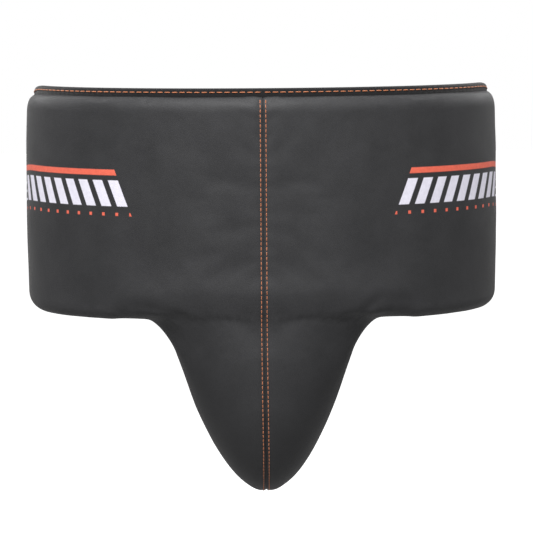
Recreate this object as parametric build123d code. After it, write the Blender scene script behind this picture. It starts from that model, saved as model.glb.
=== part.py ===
"""Boxing groin protector: a padded hip belt with a crotch piece over a hard cup.

Units are millimetres. The origin is the centre of the waist opening, halfway up the belt.
+Z is up, -Y is the front of the wearer, and left means the -X side, as seen from the front.
"""

import math
import os

from build123d import *

# ---------------------------------------------------------------- driving dimensions
HALF_WIDTH = 170.0  # outer half width of the belt, seen from the front
HALF_DEPTH = 124.0  # outer half depth of the belt, front to back
COVER = 1.5  # microfibre cover
FIRM_FOAM = 11.0
SOFT_FOAM = 9.0
LINING = 1.0
PAD_TOP = 75.0  # top of the padding at the front
PAD_BOTTOM = -80.0  # bottom of the padding at the front
PAD_ROUNDING = 7.0  # radius of the outer top and bottom edges

BEND_Y = -25.0  # where the belt starts to narrow towards the back
REAR_TOP_DROP = 20.0  # how far the top edge falls by the back
REAR_BOTTOM_RISE = 24.0  # how far the bottom edge rises by the back
EDGE_BEND_RADIUS = 160.0
REAR_HALF_GAP = 30.0  # from the middle of the back to each wing's end

HINGE_Y = 12.0  # the wings flex here, just behind the widest point
FLEX_GAP = 0.6  # slit between the front padding and a wing

BINDING_HEIGHT = 5.0
BINDING_INSET = 5.5  # from the outer surface to the binding's outer face
BINDING_THICK = 4.0
FLANGE_THICK = 2.4  # cover and lining edges held inside the binding

CROTCH_TIP_Z = -208.0
TIP_RADIUS = 18.5  # the crotch outline is a parabola with this radius at its tip
CORNER_RADIUS = 14.0  # where a leg opening turns into the belt's bottom edge
CROTCH_FRONT_Y = -121.0  # the foremost point of the crotch piece
TIP_Y = -51.0
CROTCH_TOP_BACK_Y = -86.0  # back edge of the crotch piece where it meets the belt
UNDERCUT = 3.0  # how far the crease below the belt sits behind that foremost point
CURL_HEIGHT = 110.0  # above the tip, where the crotch piece starts to curl under

CROTCH_FOAM = 10.5
CUP_WALL = 2.5
CUP_LINER = 1.5
RIM_BINDING = 1.5
RIM_GAP = 0.4  # the binding of the crotch piece stops this far below the belt
TIP_PATCH_HEIGHT = 27.0

LOOP_PANEL = 1.2
HOOK_PATCH = 1.0
HOOK_GAP = 0.3
ELASTIC = 1.8
TAB_COVER = 1.2
STRAP_HEIGHT = 38.0
STRAP_CENTRES = {"upper": 28.0, "lower": -24.0}
PEEL_X = -36.0  # the closure straps peel open about this place
STRAP_SPLIT = 0.6  # slit between the sewn end of a strap and its free part
STRAP_END_X = 104.0
TAB_LENGTH_X = 46.0
PATCH_OUTER_X = 92.0  # outer end of the patch and panel on the wings
LEG_STRAP_WIDTH = 20.0
LEG_STRAP_THICK = 1.6
SEW_GAP = 0.3  # left between a leg strap's end and its tab
LEG_STRAP_LOW = (11.0, -52.0, -193.0)  # at the crotch tip, right side
LEG_STRAP_HIGH = (68.0, 102.0, -76.0)  # below the wing's bottom edge, right side
TAB_SIZE = (27.0, 5.0, 24.0)  # tab that holds a leg strap on its wing
TAB_TURN = 19.0  # the tab is turned to follow the wing

# ---------------------------------------------------------------- worked-out values
BELT_THICK = COVER + FIRM_FOAM + SOFT_FOAM + LINING
CROTCH_HEIGHT = PAD_BOTTOM - CROTCH_TIP_Z
CROTCH_TOP_WIDTH = math.sqrt(2 * TIP_RADIUS * CROTCH_HEIGHT)
FULL_DEPTH = 44.0  # depth at which a crotch layer has its full thickness
CROTCH_LAYERS = COVER + CROTCH_FOAM + CUP_WALL + CUP_LINER
STRAP_INNER = LOOP_PANEL + HOOK_GAP + HOOK_PATCH  # from the belt's surface to the elastic
STRAP_OUTER = STRAP_INNER + ELASTIC
REACH = 400.0  # larger than the whole object


# ---------------------------------------------------------------- helpers
def box_between(low, high):
    """A box given by its lowest and highest corners."""
    size = [b - a for a, b in zip(low, high)]
    centre = [(a + b) / 2 for a, b in zip(low, high)]
    return Pos(*centre) * Box(*size)


def oval(inset, low_z, high_z):
    """An upright oval column, with its outline this far inside the belt's outer surface."""
    outline = Ellipse(HALF_WIDTH - inset, HALF_DEPTH - inset)
    return Pos(0, 0, low_z) * extrude(outline, high_z - low_z)


def ring(outer_inset, inner_inset, low_z=-REACH, high_z=REACH):
    """The wall between two ovals. A negative inset lies outside the belt's surface."""
    return oval(outer_inset, low_z, high_z) - oval(inner_inset, low_z, high_z)


def edge_line(front_z, rear_change):
    """A belt edge in side view: level at the front, then sloping towards the back."""
    slope = rear_change / (HALF_DEPTH - BEND_Y)
    corners = [(-REACH, front_z), (BEND_Y, front_z), (REACH, front_z + slope * (REACH - BEND_Y))]
    return FilletPolyline(*corners, radius=EDGE_BEND_RADIUS)


def side_band(low_edge, high_edge):
    """Everything between two belt edges, each given as its height at the front and its change."""
    low, high = edge_line(*low_edge), edge_line(*high_edge)
    ends = [Line(low @ 0, high @ 0), Line(low @ 1, high @ 1)]
    face = make_face([*low.edges(), *high.edges(), *ends])
    return extrude(Plane.YZ * face, REACH, both=True)


def top_edge(raised=0.0):
    return PAD_TOP + raised, -REAR_TOP_DROP


def bottom_edge(raised=0.0):
    return PAD_BOTTOM + raised, REAR_BOTTOM_RISE


# ---------------------------------------------------------------- zones of the bodies
def zones():
    """The space that holds the front, the left wing and the right wing of the belt."""
    half = FLEX_GAP / 2
    front = box_between((-REACH, -REACH, -REACH), (REACH, HINGE_Y - half, REACH))
    left = box_between((-REACH, HINGE_Y + half, -REACH), (0, REACH, REACH))
    right = box_between((0, HINGE_Y + half, -REACH), (REACH, REACH, REACH))
    return {"front": front, "left": left, "right": right}


LEFT_HALF = box_between((-REACH, -REACH, -REACH), (0, REACH, REACH))
RIGHT_HALF = box_between((0, -REACH, -REACH), (REACH, REACH, REACH))


# ---------------------------------------------------------------- belt padding
def belt_block(inset):
    """The whole padded belt as a filled block, with its surface moved inwards by inset."""
    block = oval(inset, -REACH, REACH) & side_band(bottom_edge(inset), top_edge(-inset))
    rims = [e for e in block.edges() if abs((e @ 0.5).Z) > 40 and e.length > 1]
    block = fillet(rims, PAD_ROUNDING - inset)
    half_gap = REAR_HALF_GAP + inset
    return block - box_between((-half_gap, 0, -REACH), (half_gap, REACH, REACH))


def belt_layers():
    """Cover, firm foam, soft foam and lining of the whole belt, before it is cut into bodies."""
    outside, inside = belt_block(0), belt_block(COVER)
    lining_back = oval(BELT_THICK - LINING, -REACH, REACH)
    torso = oval(BELT_THICK, -REACH, REACH)
    foam_split = oval(COVER + FIRM_FOAM, -REACH, REACH)
    foam = inside - lining_back
    return {
        "cover": outside - inside - lining_back,
        "firm_foam": foam - foam_split,
        "soft_foam": foam & foam_split,
        "lining": (outside & lining_back) - torso,
    }


def top_flange():
    """Edges of the cover and lining that stand up inside the top binding."""
    margin = (BINDING_THICK - FLANGE_THICK) / 2
    inset = BINDING_INSET + margin
    wall = ring(inset, inset + FLANGE_THICK)
    return without_rear_gap(wall & side_band(top_edge(-COVER), top_edge(BINDING_HEIGHT - margin)))


def top_binding():
    """Tape folded over the top flange, all round the belt."""
    wall = ring(BINDING_INSET, BINDING_INSET + BINDING_THICK)
    return without_rear_gap(wall & side_band(top_edge(), top_edge(BINDING_HEIGHT)))


def without_rear_gap(shape):
    gap = REAR_HALF_GAP
    return shape - box_between((-gap, 0, -REACH), (gap, REACH, REACH))


# ---------------------------------------------------------------- crotch piece
def crotch_half_width(height):
    """Half width at a height above the tip: a parabola that flares into the belt's edge."""
    width = math.sqrt(2 * TIP_RADIUS * height)
    into_corner = height - (CROTCH_HEIGHT - CORNER_RADIUS)
    if into_corner > 0:
        into_corner = min(into_corner, 0.98 * CORNER_RADIUS)
        width += CORNER_RADIUS - math.sqrt(CORNER_RADIUS**2 - into_corner**2)
    return width


def crotch_back_y(height):
    """The flat back of the crotch piece leans forward from the tip to the belt."""
    return TIP_Y + (CROTCH_TOP_BACK_Y - TIP_Y) * height / CROTCH_HEIGHT


def crotch_front_y(height):
    """Front of the crotch piece: it curls under below, and dips into a crease above."""
    if height < CURL_HEIGHT:
        across = (CURL_HEIGHT - height) / CURL_HEIGHT
        return TIP_Y + (CROTCH_FRONT_Y - TIP_Y) * math.sqrt(1 - across**2)
    above = (height - CURL_HEIGHT) / (CROTCH_HEIGHT - CURL_HEIGHT)
    return CROTCH_FRONT_Y + UNDERCUT * above**2


def crotch_section(height, inset):
    """A level oval through the crotch piece. Only its front half is used."""
    share = 1 - inset / FULL_DEPTH
    width = crotch_half_width(height) * (1 - inset / CROTCH_TOP_WIDTH)
    depth = (crotch_back_y(height) - crotch_front_y(height)) * share
    z = CROTCH_TIP_Z + inset + height * (CROTCH_HEIGHT - inset) / CROTCH_HEIGHT
    return Pos(0, crotch_back_y(height), z) * Ellipse(width, depth)


def crotch_block(inset, reach_up=COVER):
    """The crotch piece as a filled block, with its surface moved inwards by inset."""
    tip_heights = [0.6, 2.5, 6, 12, 22, 36, 54, 74, 94, 108]
    corner_heights = [CROTCH_HEIGHT - x for x in (14, 9.5, 6, 3, 1, 0)]
    block = loft([crotch_section(h, inset) for h in tip_heights + corner_heights])
    if reach_up:
        block += extrude(crotch_section(CROTCH_HEIGHT, inset), reach_up)
    return block


def behind_crotch(low, high):
    """A slab parallel to the crotch's flat back, between two distances behind it."""
    lean = math.atan2(TIP_Y - CROTCH_TOP_BACK_Y, CROTCH_HEIGHT)
    slab = box_between((-REACH, low, -REACH), (REACH, high, REACH))
    return Pos(0, TIP_Y, CROTCH_TIP_Z) * Rot(math.degrees(lean), 0, 0) * slab


def crotch_layers():
    """Skin, foam, hard cup and liner of the crotch piece, outermost first."""
    depths = [0, COVER, COVER + CROTCH_FOAM, CROTCH_LAYERS - CUP_LINER]
    cavity = crotch_block(CROTCH_LAYERS, reach_up=0)
    blocks = [crotch_block(d) for d in depths] + [cavity]
    in_front = behind_crotch(-REACH, 0)
    names = ["skin", "foam", "cup", "liner"]
    layers = {n: (a - b) & in_front for n, a, b in zip(names, blocks, blocks[1:])}
    layers["outside"] = blocks[0] & in_front
    layers["filling"] = blocks[1] & in_front
    rim = (blocks[0] - cavity) & behind_crotch(0, RIM_BINDING)
    below_belt = box_between((-REACH, -REACH, -REACH), (REACH, REACH, PAD_BOTTOM - RIM_GAP))
    layers["rim"] = rim & below_belt
    patch_zone = box_between((-REACH, -REACH, -REACH), (REACH, REACH, CROTCH_TIP_Z + TIP_PATCH_HEIGHT))
    layers["tip_patch"] = blocks[0] & behind_crotch(RIM_BINDING, 2 * RIM_BINDING) & patch_zone
    return layers


# ---------------------------------------------------------------- straps
def on_back(outer_inset, inner_inset, low_x, high_x, centre_z, height):
    """A strip that follows the back of the belt between two x positions."""
    strip = ring(outer_inset, inner_inset, centre_z - height / 2, centre_z + height / 2)
    return strip & box_between((low_x, 0, -REACH), (high_x, REACH, REACH))


def closure_parts():
    """Hook-and-loop closure: patches on the wings and two straps that peel open."""
    parts = {}
    middle = (STRAP_CENTRES["upper"] + STRAP_CENTRES["lower"]) / 2
    height = STRAP_CENTRES["upper"] - STRAP_CENTRES["lower"] + STRAP_HEIGHT + 4
    wing_end = REAR_HALF_GAP + 1
    parts["loop_panel"] = on_back(-LOOP_PANEL, 0, wing_end, PATCH_OUTER_X + 18, middle, height)
    pad_end = PEEL_X - STRAP_SPLIT / 2
    parts["strap_base_pad"] = on_back(-STRAP_INNER, 0, -PATCH_OUTER_X, pad_end, middle, height)
    cover_end = PEEL_X - 6
    parts["strap_cover_patch"] = on_back(
        -STRAP_OUTER - TAB_COVER, -STRAP_OUTER, -PATCH_OUTER_X + 3, cover_end, middle, height
    )
    for name, z in STRAP_CENTRES.items():
        base = (-PATCH_OUTER_X + 8, PEEL_X - STRAP_SPLIT / 2)
        free = (PEEL_X + STRAP_SPLIT / 2, STRAP_END_X)
        tab = (STRAP_END_X - TAB_LENGTH_X, STRAP_END_X)
        parts[f"{name}_strap_base"] = on_back(-STRAP_OUTER, -STRAP_INNER, *base, z, STRAP_HEIGHT)
        parts[f"{name}_strap_elastic"] = on_back(-STRAP_OUTER, -STRAP_INNER, *free, z, STRAP_HEIGHT)
        parts[f"{name}_hook_patch"] = on_back(
            -STRAP_INNER, HOOK_PATCH - STRAP_INNER, tab[0], tab[1] - 2, z, STRAP_HEIGHT - 4
        )
        parts[f"{name}_pull_tab"] = on_back(
            -STRAP_OUTER - TAB_COVER, -STRAP_OUTER, tab[0], tab[1], z, STRAP_HEIGHT
        )
    return parts


def leg_strap(side):
    """A flat elastic strap from the crotch tip to a wing's bottom edge."""
    low = Vector(side * LEG_STRAP_LOW[0], *LEG_STRAP_LOW[1:])
    high = Vector(side * LEG_STRAP_HIGH[0], *LEG_STRAP_HIGH[1:])
    along = (high - low).normalized()
    across = along.cross(Vector(0, 1, -1)).normalized()
    section = Plane(origin=low, x_dir=across, z_dir=along) * Rectangle(LEG_STRAP_WIDTH, LEG_STRAP_THICK)
    strap = extrude(section, (high - low).length + 20, dir=along)
    strap = strap + extrude(section, 20, dir=-along)
    strap &= behind_crotch(2 * RIM_BINDING, REACH)
    below_tab = box_between((-REACH, -REACH, -REACH), (REACH, REACH, high.Z - SEW_GAP))
    return strap & below_tab


def strap_tab(side):
    """Folded leather tab under a wing's bottom edge, where a leg strap is sewn on."""
    x, y, z = LEG_STRAP_HIGH
    middle = Pos(side * x, y, z + TAB_SIZE[2] / 2)
    tab = middle * Rot(0, 0, -side * TAB_TURN) * Box(*TAB_SIZE)
    return tab - side_band(bottom_edge(), top_edge())


# ---------------------------------------------------------------- build and write
def main():
    parts = {}
    belt, crotch, where = belt_layers(), crotch_layers(), zones()
    belt["cover"] = belt["cover"] + top_flange()
    belt["top_binding"] = top_binding() - top_flange()

    front_cover = (belt["cover"] & where["front"]) - crotch["filling"] + crotch["skin"]
    parts["front_cover_left"] = front_cover & LEFT_HALF
    parts["front_cover_right"] = front_cover & RIGHT_HALF
    belt["lining"] -= crotch["outside"]
    for layer in ("firm_foam", "soft_foam", "lining", "top_binding"):
        parts[f"front_{layer}"] = belt[layer] & where["front"]
    for layer in ("cover", "firm_foam", "soft_foam", "lining", "top_binding"):
        for side in ("left", "right"):
            parts[f"{side}_wing_{layer}"] = belt[layer] & where[side]

    parts["crotch_foam"] = crotch["foam"]
    parts["cup_shell"] = crotch["cup"]
    parts["cup_liner"] = crotch["liner"]
    parts["crotch_rim_binding"] = crotch["rim"]
    parts["crotch_tip_patch"] = crotch["tip_patch"]

    parts.update(closure_parts())
    for side, sign in (("left", -1), ("right", 1)):
        parts[f"{side}_leg_strap"] = leg_strap(sign)
        parts[f"{side}_strap_tab"] = strap_tab(sign)

    os.makedirs("parts", exist_ok=True)
    for name, shape in parts.items():
        export_step(shape, f"parts/{name}.step")


main()
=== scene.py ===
"""Looks of a boxing groin protector: leather over foam, folded tape, elastic, touch tape and stitches.

Metres, in the CAD frame: +Z up, -Y to the front, +X to the right as seen from the front.
"""

import math
from collections import namedtuple

import bmesh
import bpy
import numpy as np
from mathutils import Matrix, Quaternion, Vector, noise
from mathutils.bvhtree import BVHTree


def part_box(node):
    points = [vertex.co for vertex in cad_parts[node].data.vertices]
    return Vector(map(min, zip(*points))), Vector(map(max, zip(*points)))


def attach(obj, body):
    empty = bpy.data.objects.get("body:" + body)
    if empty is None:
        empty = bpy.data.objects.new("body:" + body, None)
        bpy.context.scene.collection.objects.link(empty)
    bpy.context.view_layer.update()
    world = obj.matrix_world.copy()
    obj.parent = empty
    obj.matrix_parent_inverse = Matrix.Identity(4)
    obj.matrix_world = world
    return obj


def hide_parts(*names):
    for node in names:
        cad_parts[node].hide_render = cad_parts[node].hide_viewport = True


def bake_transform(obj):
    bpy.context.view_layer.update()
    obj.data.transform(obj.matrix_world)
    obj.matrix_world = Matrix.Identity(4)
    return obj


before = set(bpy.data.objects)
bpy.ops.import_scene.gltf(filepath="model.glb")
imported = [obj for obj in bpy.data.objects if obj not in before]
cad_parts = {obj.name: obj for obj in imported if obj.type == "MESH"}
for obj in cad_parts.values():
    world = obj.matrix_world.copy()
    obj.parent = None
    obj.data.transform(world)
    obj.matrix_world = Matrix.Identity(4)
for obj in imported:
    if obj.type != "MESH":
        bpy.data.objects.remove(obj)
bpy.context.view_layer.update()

MM = 0.001

# ---------------------------------------------------------------- sizes read from the frame
COVER = 1.5 * MM
FRONT_LOW, FRONT_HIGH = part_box("front_cover_right")
FOAM_LOW, FOAM_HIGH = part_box("front_firm_foam")
HALF_WIDTH = FRONT_HIGH[0]
HALF_DEPTH = -FRONT_LOW[1]
PROUD = 1.3 * MM  # the filled leather stands this far proud of the plain solid, up and down
PAD_TOP = FOAM_HIGH[2] + COVER + PROUD
PAD_BOTTOM = FOAM_LOW[2] - COVER - PROUD
BINDING_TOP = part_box("front_top_binding")[1][2] + PROUD
BINDING_INSET = HALF_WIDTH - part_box("front_top_binding")[1][0]
BINDING_THICK = 4.0 * MM
THICKNESS = HALF_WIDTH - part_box("front_lining")[1][0] + 1.0 * MM
TIP_Z = FRONT_LOW[2] - 2 * PROUD
CROTCH_HEIGHT = PAD_BOTTOM - TIP_Z
REAR_END_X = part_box("right_wing_cover")[0][0]

# ---------------------------------------------------------------- shape of the padding
BEND_Y = -25.0 * MM  # where the belt starts to narrow towards the back
EDGE_SOFTNESS = 10.7 * MM
REAR_TOP_DROP = 20.0 * MM
REAR_BOTTOM_RISE = 24.0 * MM
TIP_RADIUS = 18.5 * MM
FLARE = 12.5 * MM  # how much the crotch piece widens into the belt on each side
FLARE_REACH = 10.5 * MM
TIP_Y = -51.0 * MM
CROTCH_FRONT_Y = -121.0 * MM
CROTCH_TOP_BACK_Y = -86.0 * MM
UNDERCUT = 2.0 * MM
CURL_HEIGHT = 110.0 * MM
CAVITY_DEPTH = 18.0 * MM  # from the outer surface to the cup's hollow
FULL_DEPTH = 44.0 * MM
TIP_LEAN = 1.4 * MM  # the tip hangs this far to the right
TOP_WIDTH = math.sqrt(2 * TIP_RADIUS * CROTCH_HEIGHT)
SQUARE_END = 90 * MM  # over this length the wing's end is squared to face the other wing
QUARTER = math.pi / 2

# ---------------------------------------------------------------- leather skin
ROLL_INSET = 6.8 * MM  # the leather tucks under the binding this far in
ROLL_HEIGHT = 12.5 * MM
GROOVE = 0.9 * MM  # pucker in the roll, just below the binding
ROLL_RIDGE = 0.35 * MM  # slight ridge on the roll, below that pucker
BASE_ROUND = 9.0 * MM  # rounding of the bottom outer edge
FRONT_ROUND = 4.6 * MM  # the same, over the middle of the crotch piece
INNER_ROUND = 2.5 * MM
UNDER_ARCH = 0.8 * MM  # how much the underside is hollowed
END_ROUND = 6.0 * MM  # rounding of a wing's end
END_STEPS = 5
ROUND_ROWS = 7
UNDER_ROWS = 6
LEVEL_ROW = 12  # the row whose length sets the grain and print along the belt
CREST = 1.9 * MM  # the pad bulges out above the crease
CREST_HEIGHT, CREST_REACH = 14.0 * MM, 16.0 * MM
CROWN = 1.0 * MM
RIM_RADIUS = 3.2 * MM  # how the leather turns round the crotch piece's rim
SEAM_STITCH = 1.95 * MM  # from the seam to each row of top stitch
# Folds at the leg openings, by side: start and end as x and z, depth, breadth.
FOLDS = {
    1: [
        ((0.050, -0.0815), (0.064, -0.0790), 1.6 * MM, 3.5 * MM),
        ((0.064, -0.0790), (0.082, -0.0650), 1.4 * MM, 3.2 * MM),
        ((0.082, -0.0650), (0.108, -0.0690), 1.1 * MM, 3.6 * MM),
        ((0.060, -0.0960), (0.067, -0.0830), 1.3 * MM, 3.0 * MM),
    ],
    -1: [
        ((-0.052, -0.0805), (-0.068, -0.0740), 1.5 * MM, 3.8 * MM),
        ((-0.068, -0.0740), (-0.092, -0.0700), 1.2 * MM, 3.8 * MM),
        ((-0.058, -0.0980), (-0.066, -0.0840), 1.1 * MM, 3.2 * MM),
    ],
}

# ---------------------------------------------------------------- lining, cup and tapes
LINING_ROUND = 9.0 * MM
CHANNELS = [0.26, 0.47, 0.66, 0.84]  # sewn channels, as shares of the lining's length
CHANNEL_DEPTH, CHANNEL_WIDTH = 1.6 * MM, 0.008
LIP_SOFTNESS = 7 * MM  # over this height the hollow opens from its bottom
PUFF = 2.6 * MM  # how far the lining's lip swells back
CUP_OUTSIDE, CUP_INSIDE = 12.9 * MM, 14.9 * MM  # depth of the cup's two faces under the leather
CUP_TOP = 0.92  # share of the crotch piece's height that the cup reaches
CUP_SETBACK = 1.2 * MM  # from the cup's edge to the crotch piece's back
RIM_TAPE_WIDTH, RIM_TAPE_THICK = 8.5 * MM, 1.9 * MM
RIM_INSET = 5.2 * MM
RIM_LIFT = 3.9 * MM
RIM_TUCK = 7.0 * MM  # the tape's ends turn forward under the belt

# ---------------------------------------------------------------- stitches
Stitch = namedtuple("Stitch", "pitch share radius lift")  # share is the thread's part of a pitch
SEAM_THREAD = Stitch(3.4 * MM, 0.80, 0.36 * MM, 0.26 * MM)
BINDING_THREAD = Stitch(5.3 * MM, 0.76, 0.42 * MM, 0.22 * MM)
RIM_THREAD = Stitch(4.0 * MM, 0.72, 0.30 * MM, 0.20 * MM)
LOOP_THREAD = Stitch(3.0 * MM, 0.75, 0.28 * MM, 0.16 * MM)
BASE_THREAD = Stitch(3.2 * MM, 0.75, 0.30 * MM, 0.18 * MM)
PATCH_THREAD = Stitch(3.2 * MM, 0.75, 0.32 * MM, 0.20 * MM)
BOX_THREAD = Stitch(2.6 * MM, 0.78, 0.30 * MM, 0.18 * MM)
THREAD_SIDES = 7

# ---------------------------------------------------------------- straps and closure
# Layers of the closure, as distances out from the belt's surface.
LOOP_OUT = 1.2 * MM
HOOK_IN = 1.55 * MM
ELASTIC_IN = 2.5 * MM
ELASTIC_OUT = 4.3 * MM
TAB_OUT = 5.5 * MM
RIB_PITCH, RIB_HEIGHT = 1.9 * MM, 0.10 * MM
LEG_STRAP_WIDTH, LEG_STRAP_THICK = 20 * MM, 1.6 * MM
STRAP_APART = 11.0 * MM  # half the distance between the leg straps at the tip
STRAP_START, STRAP_TURN = 18 * MM, 31 * MM  # heights above the tip
TAB_WIDTH, TAB_THICK, TAB_HEIGHT = 26 * MM, 5 * MM, 21 * MM
TAB_TURN = math.radians(19)
TIP_PATCH_TOP, TIP_PATCH_LOW = 31 * MM, 3 * MM  # heights above the tip
TIP_PATCH_LIFT = 4.9 * MM  # from the crotch piece's back to the patch's face
PATCH_SLOPE = 0.267  # the patch leans with the crotch piece's back

# ---------------------------------------------------------------- colours and print
LEATHER_DARK = (0.029, 0.029, 0.0305)
LEATHER_LIGHT = (0.040, 0.040, 0.042)
PRINT_CORAL = (0.80, 0.150, 0.095)
PRINT_PALE = (0.76, 0.74, 0.84)
THREAD_COPPER = (0.60, 0.205, 0.085)
THREAD_DARK = (0.03, 0.03, 0.032)
# The decoration's layout in millimetres: along the belt from the centre seam, down from the top.
PRINT_START, PRINT_END = 130.0, 262.0
PRINT_PITCH, PRINT_BAR = 13.0, 8.2
PRINT_SLANT = 0.42
BAR_BAND = (62.0, 80.0)
STRIP_BAND = (54.5, 58.5)
SQUARE_BAND = (84.5, 86.7)
SQUARE_PITCH, SQUARE_WIDTH = 11.0, 2.2
LINE_PITCH, LINE_WIDTH = 6.0, 1.6
LINES_FROM, LINES_TO = PRINT_END - 16, PRINT_END + 26

# ---------------------------------------------------------------- floor, light and camera
FLOOR_DROP = 0.55  # the object hangs this far above the floor
FLOOR_RADIUS = 14.0
WORLD_LIGHT = 0.13
LIT_FROM, LIT_FULLY = 0.3, 1.8  # distances over which the floor brightens to white
BOUNCE = 0.30  # how much light the floor throws back up
LIGHT_AIM = (0, 0, -0.05)
LIGHTS = {  # name: place, size, watts
    "key": ((-0.45, -1.9, 1.9), (1.4, 1.0), 112),
    "fill": ((1.4, -1.9, 1.5), (1.2, 1.2), 14),
    "top": ((0.0, 0.3, 2.1), (1.8, 1.4), 20),
    "rear_left": ((-1.9, 1.3, 1.1), (1.4, 1.4), 34),
    "rear_right": ((1.9, 1.3, 1.1), (1.4, 1.4), 34),
}
CAMERA_DISTANCE = 2.25
CAMERA_RISE = math.radians(5.6)
CAMERA_TURN = math.radians(0.7)
CAMERA_ROLL = math.radians(-0.4)
CAMERA_AIM = (0.0, 0.0, -0.062)
CAMERA_SHIFT = (0.0085, 0.0220)
FRAME_WIDTH = 0.3905  # width of the view at the aim point
SENSOR = 36.0


# ================================================================ small tools
def smoothstep(value):
    value = np.clip(value, 0, 1)
    return value * value * (3 - 2 * value)


def bell(distance, width):
    """A smooth bump: 1 at no distance, and falling off over the width."""
    return np.exp(-((distance / width) ** 2))


def spaced(start, stop, step):
    """Values from start to stop, about step apart."""
    return np.linspace(start, stop, max(2, round((stop - start) / step) + 1))


def joined(*runs):
    """One rising list from several runs, without repeated values."""
    return np.unique(np.round(np.concatenate(runs), 7))


def lean(points):
    """Shifts the crotch piece's lower end slightly to the right, as the real one hangs."""
    points = np.array(points, float)
    down = np.clip((PAD_BOTTOM - points[..., 2]) / CROTCH_HEIGHT, 0, 1.1)
    points[..., 0] += TIP_LEAN * down**1.4
    return points


def uneven(point, size, seed):
    """Smooth noise of a point, between about -1 and 1, with features of the given size."""
    return noise.noise(Vector(point) / size + Vector((seed, seed * 0.7, -seed)))


# ================================================================ the belt's outline
def arc_table():
    """Arc length against angle along the belt's outer oval, from the middle of the front."""
    angle = np.linspace(0, math.pi, 4001)
    x, y = HALF_WIDTH * np.sin(angle), -HALF_DEPTH * np.cos(angle)
    length = np.concatenate([[0], np.cumsum(np.hypot(np.diff(x), np.diff(y)))])
    return angle, length


ANGLES, LENGTHS = arc_table()
END_ANGLE = math.pi - math.asin(REAR_END_X / HALF_WIDTH)
WING_END = float(np.interp(END_ANGLE, ANGLES, LENGTHS))  # arc length from the middle to the end


def plan(length, inset):
    """x and y at an arc length along the right half of the belt, this far inside its surface."""
    angle = np.interp(length, LENGTHS, ANGLES)
    square = smoothstep((length - WING_END + SQUARE_END) / SQUARE_END)
    x = (HALF_WIDTH - inset * (1 - square)) * np.sin(angle)
    share = np.clip(x / (HALF_WIDTH - inset), -1, 1)
    y = -np.sign(np.cos(angle)) * (HALF_DEPTH - inset) * np.sqrt(1 - share**2)
    return x, y


def edge_height(y, level, rear_change):
    """Height of the belt's top or bottom edge: level at the front, sloping towards the back."""
    past = y - BEND_Y
    bent = np.where(past > EDGE_SOFTNESS, past, (past + EDGE_SOFTNESS) ** 2 / (4 * EDGE_SOFTNESS))
    bent = np.where(past < -EDGE_SOFTNESS, 0, bent)
    return level + rear_change / (HALF_DEPTH - BEND_Y) * bent


def top_at(y):
    return edge_height(y, PAD_TOP, -REAR_TOP_DROP)


def bottom_at(y):
    return edge_height(y, PAD_BOTTOM, REAR_BOTTOM_RISE)


# ================================================================ the crotch piece's outline
def crotch_half_width(height):
    flare = FLARE * np.exp((np.minimum(height, CROTCH_HEIGHT) - CROTCH_HEIGHT) / FLARE_REACH)
    return np.sqrt(2 * TIP_RADIUS * np.maximum(height, 0)) + flare


def crotch_back_y(height):
    return TIP_Y + (CROTCH_TOP_BACK_Y - TIP_Y) * height / CROTCH_HEIGHT


def crotch_front_y(height):
    across = np.clip((CURL_HEIGHT - height) / CURL_HEIGHT, 0, 1)
    curl = TIP_Y + (CROTCH_FRONT_Y - TIP_Y) * np.sqrt(1 - across**2)
    above = np.clip((height - CURL_HEIGHT) / (CROTCH_HEIGHT - CURL_HEIGHT), 0, 1)
    return curl + UNDERCUT * above**2


CROTCH_EDGE = float(crotch_half_width(CROTCH_HEIGHT))
EDGE_ANGLE = math.asin(CROTCH_EDGE / (HALF_WIDTH - THICKNESS))
EDGE_LENGTH = float(np.interp(EDGE_ANGLE, ANGLES, LENGTHS))


# ================================================================ meshes
def uv_layer(bm):
    layers = bm.loops.layers.uv
    return layers.get("UVMap") or layers.new("UVMap")


def add_grid(bm, points, uvs, keep=None):
    """Adds a grid of quads. points and uvs are indexed by row and column."""
    layer = uv_layer(bm)
    verts = [[bm.verts.new(p) for p in row] for row in points]
    for i in range(len(verts) - 1):
        for j in range(len(verts[0]) - 1):
            if keep is not None and not keep[i, j]:
                continue
            corners = [(i, j), (i + 1, j), (i + 1, j + 1), (i, j + 1)]
            face = bm.faces.new([verts[a][b] for a, b in corners])
            face.smooth = True
            for loop, (a, b) in zip(face.loops, corners):
                loop[layer].uv = uvs[a][b]
    return verts


def lengths_along(points, axis):
    """Distance along the rows or columns of a grid of points, from its start."""
    steps = np.linalg.norm(np.diff(points, axis=axis), axis=-1)
    start = np.zeros_like(np.take(steps, [0], axis=axis))
    return np.concatenate([start, np.cumsum(steps, axis=axis)], axis=axis)


def grid_uvs(points):
    return np.stack([lengths_along(points, 1), lengths_along(points, 0)], axis=-1)


def finish_mesh(bm, name, material, flip=False, weld=0.02 * MM):
    """Turns bm into an object with no loose or doubled points."""
    bmesh.ops.remove_doubles(bm, verts=bm.verts, dist=weld)
    bmesh.ops.dissolve_degenerate(bm, edges=bm.edges, dist=1e-7)
    loose = [v for v in bm.verts if not v.link_faces]
    bmesh.ops.delete(bm, geom=loose, context="VERTS")
    if flip:
        bmesh.ops.reverse_faces(bm, faces=bm.faces)
    mesh = bpy.data.meshes.new(name)
    bm.to_mesh(mesh)
    bm.free()
    mesh.materials.append(material)
    obj = bpy.data.objects.new(name, mesh)
    bpy.context.scene.collection.objects.link(obj)
    return obj


def mirrored(points, side):
    points = np.array(points, float)
    points[..., 0] *= side
    return points


def coordinates(obj):
    flat = np.empty(len(obj.data.vertices) * 3)
    obj.data.vertices.foreach_get("co", flat)
    return flat.reshape(-1, 3)


def set_coordinates(obj, points):
    obj.data.vertices.foreach_set("co", np.asarray(points, float).ravel())
    obj.data.update()


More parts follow.
